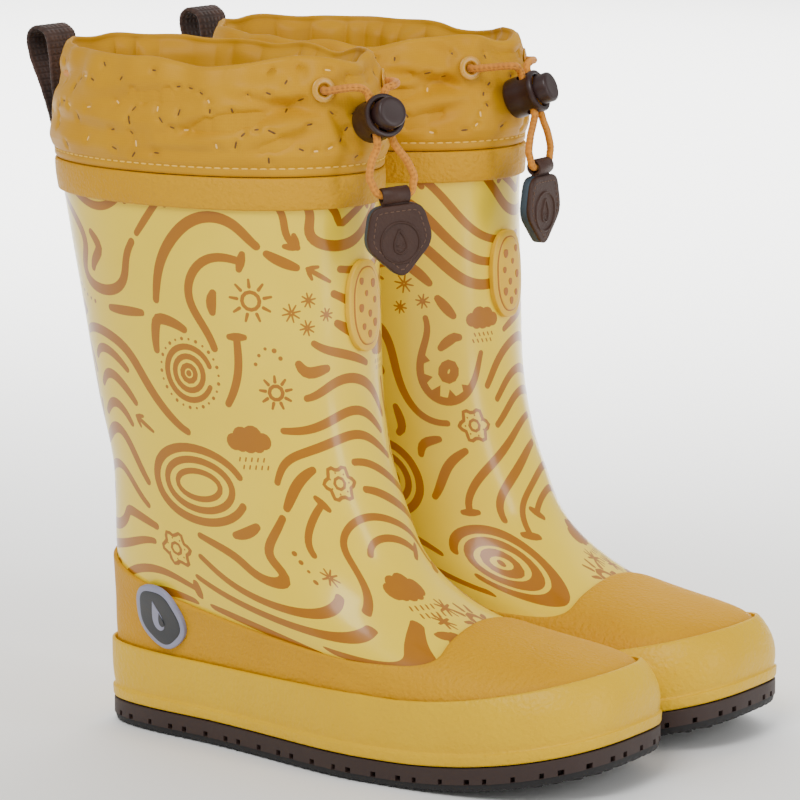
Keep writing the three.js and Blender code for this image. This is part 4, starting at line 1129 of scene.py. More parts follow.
for line in lines:
    at = 0
    while at < len(line) - 6:
        long = dice.randint(60, 190)
        if len(line) - at - long < 14:
            long = len(line) - at
        piece = line[at:at + long]
        at += long + 4
        if len(piece) < 7:
            continue
        manner = dice.random()
        width = STROKE * dice.uniform(0.88, 1.12)
        way = piece[-1] - piece[-4]
        heading = math.atan2(way[1], way[0])
        if manner < 0.05 and len(piece) > 16:
            for k in range(0, len(piece) - 1, 4):
                dot(*piece[k], dice.uniform(0.55, 1.05))
        elif manner < 0.17 and len(piece) > 44:
            brush(piece, width * 0.9)
            middle = len(piece) // 2
            for k in range(middle - 18, middle + 19, 9):
                du, dv = flow_at(*piece[k])
                base, height = 2.5, 5.0 - abs(k - middle) * 0.09
                u, v = piece[k]
                ink.append([(u - du * base, v - dv * base), (u + du * base, v + dv * base),
                            (u - dv * height, v + du * height)])
        elif manner < 0.26:
            brush(piece, width * 0.8, taper=0.8)
            straight(piece[-1][0] - math.cos(heading + 1.57) * 2.6,
                     piece[-1][1] - math.sin(heading + 1.57) * 2.6, heading + 1.57, 5.2, width * 0.8)
        elif manner < 0.32 and len(piece) < 70:
            brush(piece, width * 0.75, taper=0.8)
            for turn in (2.55, -2.55):
                straight(*piece[-1], heading + turn, 4.2, width * 0.75)
        else:
            brush(piece, width)
for u, v, nested in TARGETS:
    for k, (wide, tall, width) in enumerate(nested):
        ring = ring_line(u, v, wide, squeeze=tall / wide)
        brush(ring if k else ring[2:-3], width, taper=1 if k else 0.75)
    if nested[-1][0] < 6:
        dot(u, v, 1.1)
# A circle of dots round the first target.
u, v = TARGETS[0][:2]
for k in range(26):
    angle = 2 * math.pi * k / 26
    dot(u + 11.4 * math.cos(angle), v + 11.4 * math.sin(angle), 0.45 + 0.2 * (k % 2), 8)
for entry in MARKS:
    mark(*entry)
print(len(ink), "shapes of ink")

# %% [markdown]
# The leg's outer face is one mesh in which the ink is not a picture but faces: a constrained
# triangulation takes the outlines of all the strokes and a net of points that carries the curve
# of the leg. Faces inside a stroke take the ink. The shading normals come from the last itself, so
# the gloss runs smoothly over thin triangles. The wall and the inner face close it.

# %% Triangulating the leg
def hull(points):
    """The convex outline of a few points, counter-clockwise, without points that nearly coincide."""
    points = sorted({(round(u, 2), round(v, 2)) for u, v in points})
    out = []
    for sweep in (points, points[::-1]):
        half = []
        for p in sweep:
            while len(half) > 1 and ((half[-1][0] - half[-2][0]) * (p[1] - half[-2][1])
                                     - (half[-1][1] - half[-2][1]) * (p[0] - half[-2][0])) < 1e-3:
                half.pop()
            half.append(p)
        out += half[:-1]
    return out


def clipped(polygon):
    """A polygon's convex outline, kept inside the unrolled leg."""
    for sign, limit in ((1, 1.4), (-1, -(WIDE - 1.4))):
        kept = []
        for k in range(len(polygon)):
            p, q = polygon[k - 1], polygon[k]
            dp, dq = sign * p[0] - limit, sign * q[0] - limit
            if (dp >= 0) != (dq >= 0):
                t = dp / (dp - dq)
                kept.append((p[0] + (q[0] - p[0]) * t, p[1] + (q[1] - p[1]) * t))
            if dq >= 0:
                kept.append(q)
        polygon = kept
    outline = hull(polygon)
    return outline if len(outline) > 2 else None


NET = 3.0
net_columns, net_rows = int(WIDE / NET), 57
net_u, net_v = np.linspace(0, WIDE, net_columns + 1), np.linspace(LEG_LOW, LEG_HIGH, net_rows)
flat_points = [Vector((u, v)) for v in net_v for u in net_u]
edge_ids = []
across = net_columns + 1  # points in a row of the net
for row in (0, net_rows - 1):
    edge_ids += [(row * across + k, row * across + k + 1) for k in range(net_columns)]
for column in (0, net_columns):
    edge_ids += [(r * across + column, (r + 1) * across + column) for r in range(net_rows - 1)]
ink_faces = []
for polygon in filter(None, map(clipped, ink)):
    start = len(flat_points)
    flat_points += [Vector(p) for p in polygon]
    ink_faces.append(list(range(start, len(flat_points))))
made = delaunay_2d_cdt(flat_points, edge_ids, ink_faces, 0, 1e-4, True)
flat, triangles, sources = np.array([tuple(p) for p in made[0]]), made[2], made[5]
print("triangulated:", len(flat), "points,", len(triangles), "faces")

outer = skin(flat[:, 0] / WIDE, flat[:, 1], 0)
outer_normals = facing(flat[:, 0] / WIDE, flat[:, 1])
same = {}  # the two sides of the unrolled sheet meet at the back seam
for k, (u, v) in enumerate(flat):
    if u < 1e-3:
        same[round(v, 2)] = k
merged = np.arange(len(flat))
for k, (u, v) in enumerate(flat):
    if u > WIDE - 1e-3:
        merged[k] = same[round(v, 2)]
rims = []
for height in (LEG_LOW, LEG_HIGH):
    found = [k for k, (u, v) in enumerate(flat) if abs(v - height) < 1e-3 and u < WIDE - 1e-3]
    rims.append(sorted(found, key=lambda k: flat[k, 0]))
assert len(rims[0]) == len(rims[1]) == net_columns
inner_rows = np.linspace(LEG_LOW, LEG_HIGH - 0.2, 30)
u_at = flat[rims[1], 0] / WIDE
inner = np.concatenate([skin(u_at, h, -SHAFT_WALL) for h in inner_rows])
inner_normals = np.concatenate([-facing(u_at, h) for h in inner_rows])
# The wall is a tube inside the printed face, joined to it along both rims.
leg_points = np.vstack([outer, inner])
leg_normals = np.vstack([outer_normals, inner_normals])
leg_faces = [tuple(int(merged[i]) for i in t) for t in triangles]
leg_looks = [1 if s else 0 for s in sources]
first = len(flat)
for r in range(len(inner_rows) - 1):
    for i in range(net_columns):
        a, b = first + r * net_columns, first + (r + 1) * net_columns
        j = (i + 1) % net_columns
        leg_faces.append((a + j, a + i, b + i, b + j))
last = first + (len(inner_rows) - 1) * net_columns
for i in range(net_columns):
    j = (i + 1) % net_columns
    leg_faces.append((rims[0][i], first + i, first + j, rims[0][j]))
    leg_faces.append((rims[1][j], last + j, last + i, rims[1][i]))
leg_looks += [0] * (len(leg_faces) - len(leg_looks))
a, b, c = leg_faces[0]
if np.dot(np.cross(leg_points[b] - leg_points[a], leg_points[c] - leg_points[a]), leg_normals[a]) < 0:
    leg_faces = [f[::-1] for f in leg_faces]
for side, mirror in SIDES.items():
    faces = leg_faces if mirror > 0 else [f[::-1] for f in leg_faces]
    mesh = plain_mesh(f"{side}_boot_leg", place(leg_points, side), faces)
    mesh.materials.append(leg_rubber)
    mesh.materials.append(leg_ink)
    mesh.polygons.foreach_set("material_index", leg_looks)
    mesh.normals_split_custom_set_from_vertices([tuple(n) for n in leg_normals * FLIP[side]])
    settle(linked(f"{side}_boot_leg", mesh), f"{side}_boot", [f"{side}_shaft"])
print("leg:", len(leg_faces), "faces on each boot")

# %% [markdown]
# A pebbled rubber band binds the leg's top edge, and a narrow rubber tape covers the seam up the
# back. Over the heel the tape is broader and yellow. Both are thin bars with rounded long edges.

# %% Binding band and back seam
share = np.arange(720) / 720
section = [skin(share, SHAFT_TOP - d, o) for d, o in (
    (BAND_HEIGHT, GAP - 0.25), (BAND_HEIGHT, GAP + 0.8), (BAND_HEIGHT - 0.2, GAP + 1.15),
    (BAND_HEIGHT - 0.6, GAP + 1.35), (7.5, GAP + 1.42), (5.2, GAP + 1.45), (3, GAP + 1.42),
    (1.0, GAP + 1.35), (0.45, GAP + 1.2), (0.1, GAP + 0.9), (0.0, GAP + 0.4), (0.0, GAP - 0.25),
    (5.0, GAP - 0.25))]
points, faces = loft(section)
both("binding_band", points, faces, band_rubber, stands_for=["top_band"], sharp=60)


def tape(low, high, width, out, wall, steps):
    rows = []
    for k, height in enumerate(np.linspace(low, high, steps)):
        w = width / 2 / girth(height)
        shrink = 0.82 if k in (0, steps - 1) else 1.0
        rows.append([skin(x * w * shrink, height, out + y)
                     for x, y in ((-1, 0), (0, 0), (1, 0), (1, wall * 0.6), (0.86, wall * 0.95),
                                  (0, wall), (-0.86, wall * 0.95), (-1, wall * 0.6))])
    return loft(np.array(rows), joined=False)


points, faces = tape(30.2, 59.4, 7.0, GAP * 2 + OVERLAY_WALL - 0.3, 1.1, 40)
both("heel_tape", points, faces, foxing_rubber, stands_for=["back_strip"], sharp=60)
points, faces = tape(61.7, 180.9, 3.2, GAP - 0.25, 0.95, 120)
both("seam_tape", points, faces, overlay_rubber, stands_for=["back_seam"], sharp=60)

# %% [markdown]
# ## The gathered cuff
# The cuff is a tube of nylon sewn to the leg's top edge. It is cut wider than the leg, turned in at
# the top, and a seam below the fold makes a channel for the cord, which gathers it. So it bulges
# over the band, leans in towards the rim, sinks in creases that run to the eyelets, and pleats on
# its inner face. A cloth simulation gives such folds at random. Here they are given as
# displacements of a loft, because the big folds and the rim's dips have to lie where they do.

# %% The outer face of the cuff
CUFF_GIRTH = 330.0  # the cloth's own length round the leg, before it is gathered
eyelet_places = [(0.5 - EYELET_SHARE, CHANNEL_RISE), (0.5 + EYELET_SHARE, CHANNEL_RISE)]


def swell(share, rise, seed, low, high, drift=0.0):
    """Smooth ups and downs round the leg, with low to high waves, that drift with the rise."""
    rng = random.Random(seed)
    total, norm = 0.0, 0.0
    for k in range(low, high + 1):
        weight = rng.uniform(0.5, 1.0)
        phase, slant = rng.random(), rng.uniform(-1, 1)
        total = total + weight * np.cos(2 * math.pi * (k * share + phase) + slant * drift * rise)
        norm += weight * weight
    return total / math.sqrt(norm)


def crease(share, rise, from_point, to_point, width, depth):
    """A soft groove between two points of (millimetres round from the front, rise)."""
    x = (share - 0.5) * WIDE
    a, b = np.array(from_point, float), np.array(to_point, float)
    d = b - a
    t = np.clip(((x - a[0]) * d[0] + (rise - a[1]) * d[1]) / np.dot(d, d), 0, 1)
    gap = np.hypot(x - a[0] - t * d[0], rise - a[1] - t * d[1])
    return -depth * np.exp(-(gap / width) ** 2) * np.sin(math.pi * np.clip(0.12 + 0.8 * t, 0, 1))


# Where the folds lie: from, to, width, depth. The front is at 0 and the outer side is negative.
FOLDS = [
    ((-19, 24), (-66, 13), 3.0, 3.2), ((-18, 21), (-44, 27), 2.4, 1.8), ((-24, 33), (-46, 38), 3.6, 1.4),
    ((-17, 16), (-40, 7), 2.6, 2.0), ((-58, 27), (-104, 20), 4.2, 2.0), ((-74, 12), (-126, 15), 3.4, 1.6),
    ((-104, 31), (-142, 24), 3.6, 1.5), ((-14, 22), (-6, 6), 2.2, 1.6), ((-9, 32), (9, 33), 3.0, 1.4),
    ((19, 24), (64, 14), 3.0, 3.0), ((18, 21), (44, 28), 2.4, 1.8), ((24, 33), (46, 38), 3.6, 1.3),
    ((17, 16), (40, 8), 2.6, 1.8), ((58, 27), (104, 21), 4.2, 1.9), ((72, 12), (124, 16), 3.4, 1.6),
    ((96, 31), (138, 26), 3.6, 1.4), ((-44, 8), (-84, 6), 2.2, 1.2), ((46, 8), (86, 6), 2.2, 1.2)]
SLITS = []


def cuff_out(share, rise):
    """How far the cuff's outer face lies from the last."""
    out = np.interp(rise, [0.3, 1.1, 2.4, 3.1, 4.2, 7, 12, 17, 22, 27, 32, 36, 37.8, 38.5],
                    [0.9, 1.55, 1.6, 1.3, 2.1, 3.3, 4.0, 4.1, 3.4, 2.2, 0.9, -0.6, -1.5, -2.4])
    loose = smooth(rise, 3.0, 9.0)
    from_back = np.minimum(share, 1 - share) * WIDE
    held_in = np.interp(rise, [5, 12, 24, 34, 38], [0, 1, 1, 0.5, 0.2])  # by the pull loop's seam
    out = out - 2.1 * np.exp(-(from_back / 38) ** 2) * held_in
    out = out + loose * (1.2 * swell(share, rise, 3, 3, 8, 0.09) + 0.4 * swell(share, rise, 5, 8, 16, 0.2))
    near_rim = smooth(rise, 20.0, 38.0)
    out = out + near_rim * (0.45 * swell(share, rise, 8, 12, 24, 0.08))
    for a, b, width, depth in FOLDS:
        out = out + loose * crease(share, rise, a, b, width, 1.45 * depth)
    for eye_share, eye_rise in eyelet_places:
        x, y = (share - eye_share) * WIDE, rise - eye_rise
        reach, angle = np.hypot(x, y), np.arctan2(y, x)
        rays = np.cos(angle * 6 + 1.0) * 0.75 * np.exp(-reach / 9) * smooth(reach, 4, 8)
        flat = np.exp(-(reach / 6.2) ** 4)
        out = (out + rays - 0.9 * np.exp(-(reach / 12) ** 2)) * (1 - flat) + (EYELET_OUT + 0.3) * flat
    for u, r, angle, length in SLITS:
        x, y = (share - 0.5) * WIDE - u, rise - r
        c, s = math.cos(angle), math.sin(angle)
        along_it, across_it = x * c + y * s, -x * s + y * c
        out = out - 0.75 * np.exp(-(along_it / (length * 0.66)) ** 4 - (across_it / 1.15) ** 2)
    return out


def rim_drop(share):
    """The rim dips between its supports: the eyelets, and the back where the loop is sewn."""
    x = (share - 0.5) * WIDE
    dips = sum(depth * np.exp(-((x - at) / width) ** 2) for depth, at, width in (
        (3.4, -52, 17), (3.0, 54, 18), (2.2, 0, 8), (2.0, 92, 26), (1.0, -96, 22)))
    return dips + 0.5 * swell(share, 0.0, 21, 5, 13)


def cuff_point(share, rise, inward=0.0):
    """A point of the outer face, or inward of it."""
    share, rise = np.broadcast_arrays(np.asarray(share, float), np.asarray(rise, float))
    height = SHAFT_TOP + rise - rim_drop(share) * smooth(rise, 16.0, CUFF_HEIGHT)
    n = facing(share, SHAFT_TOP + rise, True)
    p = skin(share, SHAFT_TOP + rise, 0, True) + n * (cuff_out(share, rise) - inward)[..., None]
    p[..., 2] = height
    return p


# %% [markdown]
# The nylon is cut with hundreds of short slits for looks, set in arcs, rings and loose scatters. Each
# is a dent in the cloth, marked dark brown as painted shade in the cut. Their places are drawn here
# with a fixed seed, and kept apart from each other and from the eyelets.

# %% Where the slits are
scatter = random.Random(4)


def try_slit(u, r, angle, apart=3.6):
    u = (u + WIDE / 2) % WIDE - WIDE / 2
    if not 5.4 < r < 35.0 or any(math.hypot(u - a, r - b) < apart for a, b, *_ in SLITS):
        return
    near_eyelet = any(math.hypot(u - (s - 0.5) * WIDE, r - z) < 6.5 for s, z in eyelet_places)
    if near_eyelet or abs(u) > WIDE / 2 - 4:
        return
    SLITS.append((u, r, angle, scatter.uniform(1.9, 2.9)))


for k in range(22):
    u = -138 + k * 13.0 + scatter.uniform(-3, 3)
    r, size = scatter.uniform(9, 30), scatter.uniform(5.5, 11)
    begin, sweep = scatter.uniform(0, 6.28), scatter.choice([2.6, 3.6, 6.28])
    for j in range(int(size * sweep / 4.5)):
        a = begin + j * 4.5 / size
        try_slit(u + size * math.cos(a), r + 0.85 * size * math.sin(a), a + math.pi / 2)
for k in range(420):
    try_slit(scatter.uniform(-148, 148), scatter.uniform(5, 35), scatter.uniform(0, 3.14), 5.6)
print(len(SLITS), "slits in each cuff")

# %% [markdown]
# The loft's section runs up the outer face, over the rim, down the inner face to the facing's edge,
# and back up inside the fold to the hem. The inner face is pleated, because the cloth there has less
# room: the pleats are sharp inwards and round outwards.

# %% The cuff's mesh
columns = 640
share = np.arange(columns) / columns
FACING_OUT = CORD_OUT - CORD / 2 - 0.5


def inner_point(share, depth):
    """A point of the facing's inner face, at a depth below the rim."""
    rise = CUFF_HEIGHT - depth
    pleat = np.abs(np.sin(math.pi * (30 * share + 0.35 * swell(share, 0.0, 31, 3, 9)))) ** 0.7
    strength = smooth(depth, 0.5, 5.0) * (0.55 + 0.45 * swell(share, 0.0, 33, 2, 7))
    rim_out = cuff_out(share, np.full(share.shape, CUFF_HEIGHT))
    settled = np.interp(depth, [0, 2, 6, 12, 20, 28], [0.0, 0.5, 0.3, -0.4, -0.2, 0.2])
    out = lerp(rim_out - 1.3, FACING_OUT - 1.4, smooth(depth, 0.0, 7.0)) + settled
    out = out - strength * 2.6 * pleat * np.interp(depth, [0, 3, 9, 20, 28], [0.2, 0.8, 1.0, 0.7, 0.5])
    out = out + 0.5 * swell(share, depth, 37, 6, 18, 0.2) * smooth(depth, 2, 8)
    height = SHAFT_TOP + rise - rim_drop(share) * smooth(rise, 16.0, CUFF_HEIGHT)
    p = skin(share, SHAFT_TOP + rise, 0, True) + facing(share, SHAFT_TOP + rise, True) * out[..., None]
    p[..., 2] = height
    return p


rises = np.concatenate([[0.3, 0.6, 1.0, 1.5, 2.0, 2.4, 2.75, 3.1, 3.5, 4.0], np.linspace(4.5, 37.6, 62)])
section = [cuff_point(share, np.full(columns, r)) for r in rises]
along_cloth = list(rises)
rim = cuff_point(share, np.full(columns, CUFF_HEIGHT))
inward = -facing(share, cuff_top, True)
for across_rim, drop in ((0.0, 0.35), (0.25, 0.08), (0.65, 0.0), (1.05, 0.12), (1.3, 0.5)):
    section.append(rim + inward * across_rim - np.array([0, 0, drop]))
    along_cloth.append(CUFF_HEIGHT + across_rim)
for depth in np.concatenate([np.linspace(1.4, FACING_DROP - 0.4, 40), [FACING_DROP]]):
    section.append(inner_point(share, np.full(columns, depth)))
    along_cloth.append(CUFF_HEIGHT + 1.3 + depth)
outer_back = [cuff_point(share, np.full(columns, r), 0.8) for r in (36.6, 30.0, 22.0, 14.0, 7.0, 3.0)]
facing_back = []
for depth in (FACING_DROP, 18.0, 8.0, 3.2):
    p = inner_point(share, np.full(columns, depth))
    facing_back.append(p + facing(share, SHAFT_TOP + CUFF_HEIGHT - depth, True) * 0.7)
section += facing_back + outer_back
for out, rise in ((-0.3, 1.2), (-3.0, 1.0), (-3.2, -CUFF_TUCK), (-2.35, -CUFF_TUCK), (-2.2, 0.35)):
    section.append(skin(share, SHAFT_TOP + rise, out))
along_cloth += [CUFF_HEIGHT + 30 + 5 * k for k in range(len(section) - len(along_cloth))]
points, faces = loft(section)
cuff_uv = (np.tile(share * CUFF_GIRTH, len(section)), np.repeat(along_cloth, columns))
cuffs = both("gathered_cuff", points, faces, cuff_nylon, stands_for=["cuff"],
             extra=lambda obj, side: cloth_map(obj, *cuff_uv))

# %% [markdown]
# Each slit gets a rounded bead sunk in its dent, dark brown as painted shade in the cut. In a few the
# bead is pale instead, a painted highlight. A row of pale stitches, one every 3 mm, runs round the hem
# just above the band.

# %% Slits and stitches
u = np.array([s[0] for s in SLITS])
r = np.array([s[1] for s in SLITS])
turn = np.array([s[2] for s in SLITS])
sizes = np.array([[s[3], 0.86, 0.4] for s in SLITS])
at_share, step = 0.5 + u / WIDE, 0.6
at = cuff_point(at_share, r)
around = cuff_point(at_share + step / WIDE, r) - cuff_point(at_share - step / WIDE, r)
upward = cuff_point(at_share, r + step) - cuff_point(at_share, r - step)
normal = unit(np.cross(around, upward))
onward = unit(around * np.cos(turn)[:, None] + upward * np.sin(turn)[:, None])
at = at - normal * 0.05
# About one slit in six takes the pale painted highlight; the rest take the dark painted shade.
light = np.array([scatter.random() < 0.16 for _ in SLITS])
for side, flip in FLIP.items():
    for name, chosen, material in (("slit_edges", ~light, slit_shade), ("slit_linings", light, slit_highlight)):
        obj = repeat(place_tree, f"{side}_cuff_{name}", place(at[chosen], side), normal[chosen] * flip,
                     onward[chosen] * flip, stitch_shape, material, (MM, MM, MM), sizes[chosen])
        settle(obj, f"{side}_boot")

hem = np.append(np.arange(0, 1, 1 / 400), 1.0)
hem_line = cuff_point(hem, np.full(len(hem), 3.05))
hem_normal = facing(hem, SHAFT_TOP + 3, True)
for side, flip in FLIP.items():
    obj = repeat(path_tree, f"{side}_hem_stitches", place(hem_line + hem_normal * 0.12, side),
                 hem_normal * flip, np.gradient(hem_line, axis=0) * flip, stitch_shape, pale_thread,
                 (2.3 * MM, 0.55 * MM, 0.5 * MM), spacing=3.0 * MM)
    settle(obj, f"{side}_boot")
print("hem stitches:", len(obj.data.polygons), "faces")

# %% [markdown]
# ## Eyelets, lock and tag
# Each eyelet is a soft plastic ring set in the cuff. A profile is turned about its axis, like work
# on a lathe. The lock is a barrel with two cross holes for the cord and a button sprung in its mouth:
# the barrel and the button are turned too, and the holes are cut with a Boolean modifier.

# %% Turned pieces
def turned(profile, steps=48):
    """A profile of (x, radius) turned about X and closed."""
    rows, ends = [], []
    for x, radius in profile:
        if radius < 1e-6:
            ends.append((len(rows), x))
            continue
        a = circle(steps)
        rows.append(np.column_stack([np.full(steps, x), radius * np.cos(a), radius * np.sin(a)]))
    points = np.concatenate(rows)
    faces = rings(len(rows), steps)
    if not ends:
        r = len(rows) - 1
        faces += [(r * steps + i, r * steps + (i + 1) % steps, (i + 1) % steps, i) for i in range(steps)]
    for row, x in ends:
        centre = len(points)
        points = np.vstack([points, [x, 0, 0]])
        base = 0 if row == 0 else (len(rows) - 1) * steps
        ring_faces = [(base + i, base + (i + 1) % steps, centre) for i in range(steps)]
        faces += [f[::-1] for f in ring_faces] if row == 0 else ring_faces
    return points, facing_out(points, faces)


def moved(points, matrix):
    return points @ matrix[:3, :3].T + matrix[:3, 3]


def set_piece(side, name, matrix, points, faces, material, sharp=None):
    """A piece that was made in its own frame, set in place on one boot."""
    shown = place(moved(points, matrix), side)
    return new_mesh(f"{side}_{name}", shown, facing_out(shown, faces), material, sharp)


eyelet_profile = [(-1.0, 1.95), (-1.0, 2.6), (0.25, 2.7), (0.3, 3.7), (0.5, 4.0), (0.75, 4.1), (1.0, 4.0),
                  (1.15, 3.7), (1.2, 3.1), (1.3, 2.6), (1.2, 2.15), (0.9, 1.95)]
points, faces = turned(eyelet_profile, 40)
for side in SIDES:
    for name, s in (("outer", -1), ("inner", 1)):
        eye_share = 0.5 + s * EYELET_SHARE
        eye = skin(eye_share, EYELET_Z, EYELET_OUT + 0.1, True)
        n = facing(eye_share, EYELET_Z, True) * [1, 1, 0] + [0, 0, 0.13]
        matrix = np.eye(4)
        matrix[:3, :3] = np.array(Vector(n).to_track_quat("X", "Z").to_matrix())
        matrix[:3, 3] = eye
        obj = set_piece(side, f"eyelet_ring_{name}", matrix, points, faces, eyelet_plastic)
        settle(obj, f"{side}_boot", [f"{side}_eyelet_{name}"])


def cut(obj, cutters):
    """Cuts other meshes out of a mesh with Boolean modifiers, and makes the result plain."""
    for cutter in cutters:
        modifier = obj.modifiers.new("hole", "BOOLEAN")
        modifier.operation, modifier.solver, modifier.object = "DIFFERENCE", "EXACT", cutter
    bpy.context.view_layer.update()
    mesh = bpy.data.meshes.new_from_object(obj.evaluated_get(bpy.context.evaluated_depsgraph_get()))
    obj.modifiers.clear()
    obj.data = mesh
    for cutter in cutters:
        bpy.data.objects.remove(cutter)
    mesh.polygons.foreach_set("use_smooth", [True] * len(mesh.polygons))
    mesh.set_sharp_from_angle(angle=math.radians(38))
    return obj


body_profile = [(-6.5, 0), (-6.5, 5.3), (-6.3, 6.1), (-5.8, 6.6), (-5.0, 6.85), (-1.0, 6.9), (3.0, 6.95),
                (3.15, 7.05), (3.3, 7.2), (3.5, 7.25), (4.5, 7.2), (4.85, 7.05), (5.0, 6.75), (5.0, 6.0),
                (4.85, 5.7), (4.5, 5.5), (-5.2, 5.45), (-5.2, 0)]
# The button is hollow below, where its spring stands.
button_profile = [(1.2, 0), (1.2, 3.7), (-1.5, 3.7), (-1.5, 4.85), (4.8, 5.1), (8.6, 5.1), (9.1, 4.97),
                  (9.4, 4.7), (9.55, 4.3), (9.6, 3.7), (9.55, 2.8), (9.52, 0)]
for side in SIDES:
    matrix = lock_place[side]

    def lock_piece(name, points, faces):
        return set_piece(side, name, matrix, points, faces, lock_plastic)

    holes = []
    for y in (-STRAND_Y, STRAND_Y):
        points, faces = turned([(-10, 0), (-10, 1.75), (10, 1.75), (10, 0)], 32)
        points = points[:, [2, 1, 0]] * [1.25, 1, 1] + [BORE_X, y, 0]
        holes.append(lock_piece("hole", points, faces))
    barrel = cut(lock_piece("lock_barrel", *turned(body_profile)), holes)
    settle(barrel, f"{side}_lock", [f"{side}_lock_body"])
    # The button's window, which both strands pass through.
    corners = np.array([[x, y, z] for x in (BORE_X - 1.65, BORE_X + 3.65) for y in (-4.45, 4.45)
                        for z in (-6, 6)])
    slot = lock_piece("slot", corners, [(0, 1, 3, 2), (4, 6, 7, 5), (0, 4, 5, 1), (2, 3, 7, 6),
                                        (0, 2, 6, 4), (1, 5, 7, 3)])
    button = cut(lock_piece("lock_button_cap", *turned(button_profile)), [slot])
    settle(button, f"{side}_button", [f"{side}_lock_button"])
print("lock barrel:", len(barrel.data.polygons), "faces; button:", len(button.data.polygons))

# %% [markdown]
# The tag is two five-sided plates of leather, glued back to back over a strap that loops round the
# cord. The front is brown and the back and its painted edge are blue-grey. It is sewn round its edge
# and pressed with a plain emblem, which is a raised ring round a drop.

# %% Tag
TAG_WIDTH, TAG_HEIGHT, TAG_TOP = 23.6, 24.6, -3.0


def rounded(corners, reach, steps=6):
    """A closed outline with its corners rounded."""
    corners = [np.array(c, float) for c in corners]
    out = []
    for i, c in enumerate(corners):
        before, after = corners[i - 1], corners[(i + 1) % len(corners)]
        a = c + (before - c) / np.linalg.norm(before - c) * reach
        b = c + (after - c) / np.linalg.norm(after - c) * reach
        for t in np.linspace(0, 1, steps):
            out.append((1 - t) ** 2 * a + 2 * t * (1 - t) * c + t**2 * b)
    return np.array(out)


def shrunk(outline_points, inset):
    """The outline moved inwards by a distance."""
    p = np.asarray(outline_points, float)
    way = unit(np.roll(p, -1, 0) - np.roll(p, 1, 0))
    side_way = np.column_stack([-way[:, 1], way[:, 0]])
    area = np.sum(p[:, 0] * np.roll(p[:, 1], -1) - np.roll(p[:, 0], -1) * p[:, 1])
    return p + side_way * (inset if area > 0 else -inset)


def plate(outline_points, low, high, round_low, round_high):
    """A plate in Y and Z, as thick as X from low to high, with rounded edges."""
    rows = []
    for inset, x in ((round_low + 0.9, low), (round_low, low), (round_low * 0.3, low + round_low * 0.3),
                     (0, low + round_low), (0, high - round_high),
                     (round_high * 0.3, high - round_high * 0.3), (round_high, high),
                     (round_high + 0.9, high)):
        p = shrunk(outline_points, inset)
        rows.append(np.column_stack([np.full(len(p), x), p[:, 0], p[:, 1]]))
    return loft(rows, joined=False)


shoulder, wide, tip = 0.37 * TAG_WIDTH, TAG_WIDTH / 2, TAG_TOP - TAG_HEIGHT
side_z = TAG_TOP - 0.52 * TAG_HEIGHT
tag_outline = rounded([(0, tip), (wide, side_z), (shoulder, TAG_TOP), (-shoulder, TAG_TOP),
                       (-wide, side_z)], 4.2, 7)
tag_outline = np.roll(tag_outline, -3, axis=0)  # starts at the tip, so that the lids pair left and right


def ribbon(path, width, height, base):
    """A low rounded ridge along a closed or open flat path in Y and Z."""
    path = np.asarray(path, float)
    rows = []
    for p, a in zip(path, beside(path)):
        rows.append([(base + h * height, *(p + a * w * width / 2))
                     for w, h in ((-1, -0.6), (-0.8, 0.4), (-0.35, 1), (0.35, 1), (0.8, 0.4), (1, -0.6))])
    return loft(np.array(rows), joined=False)


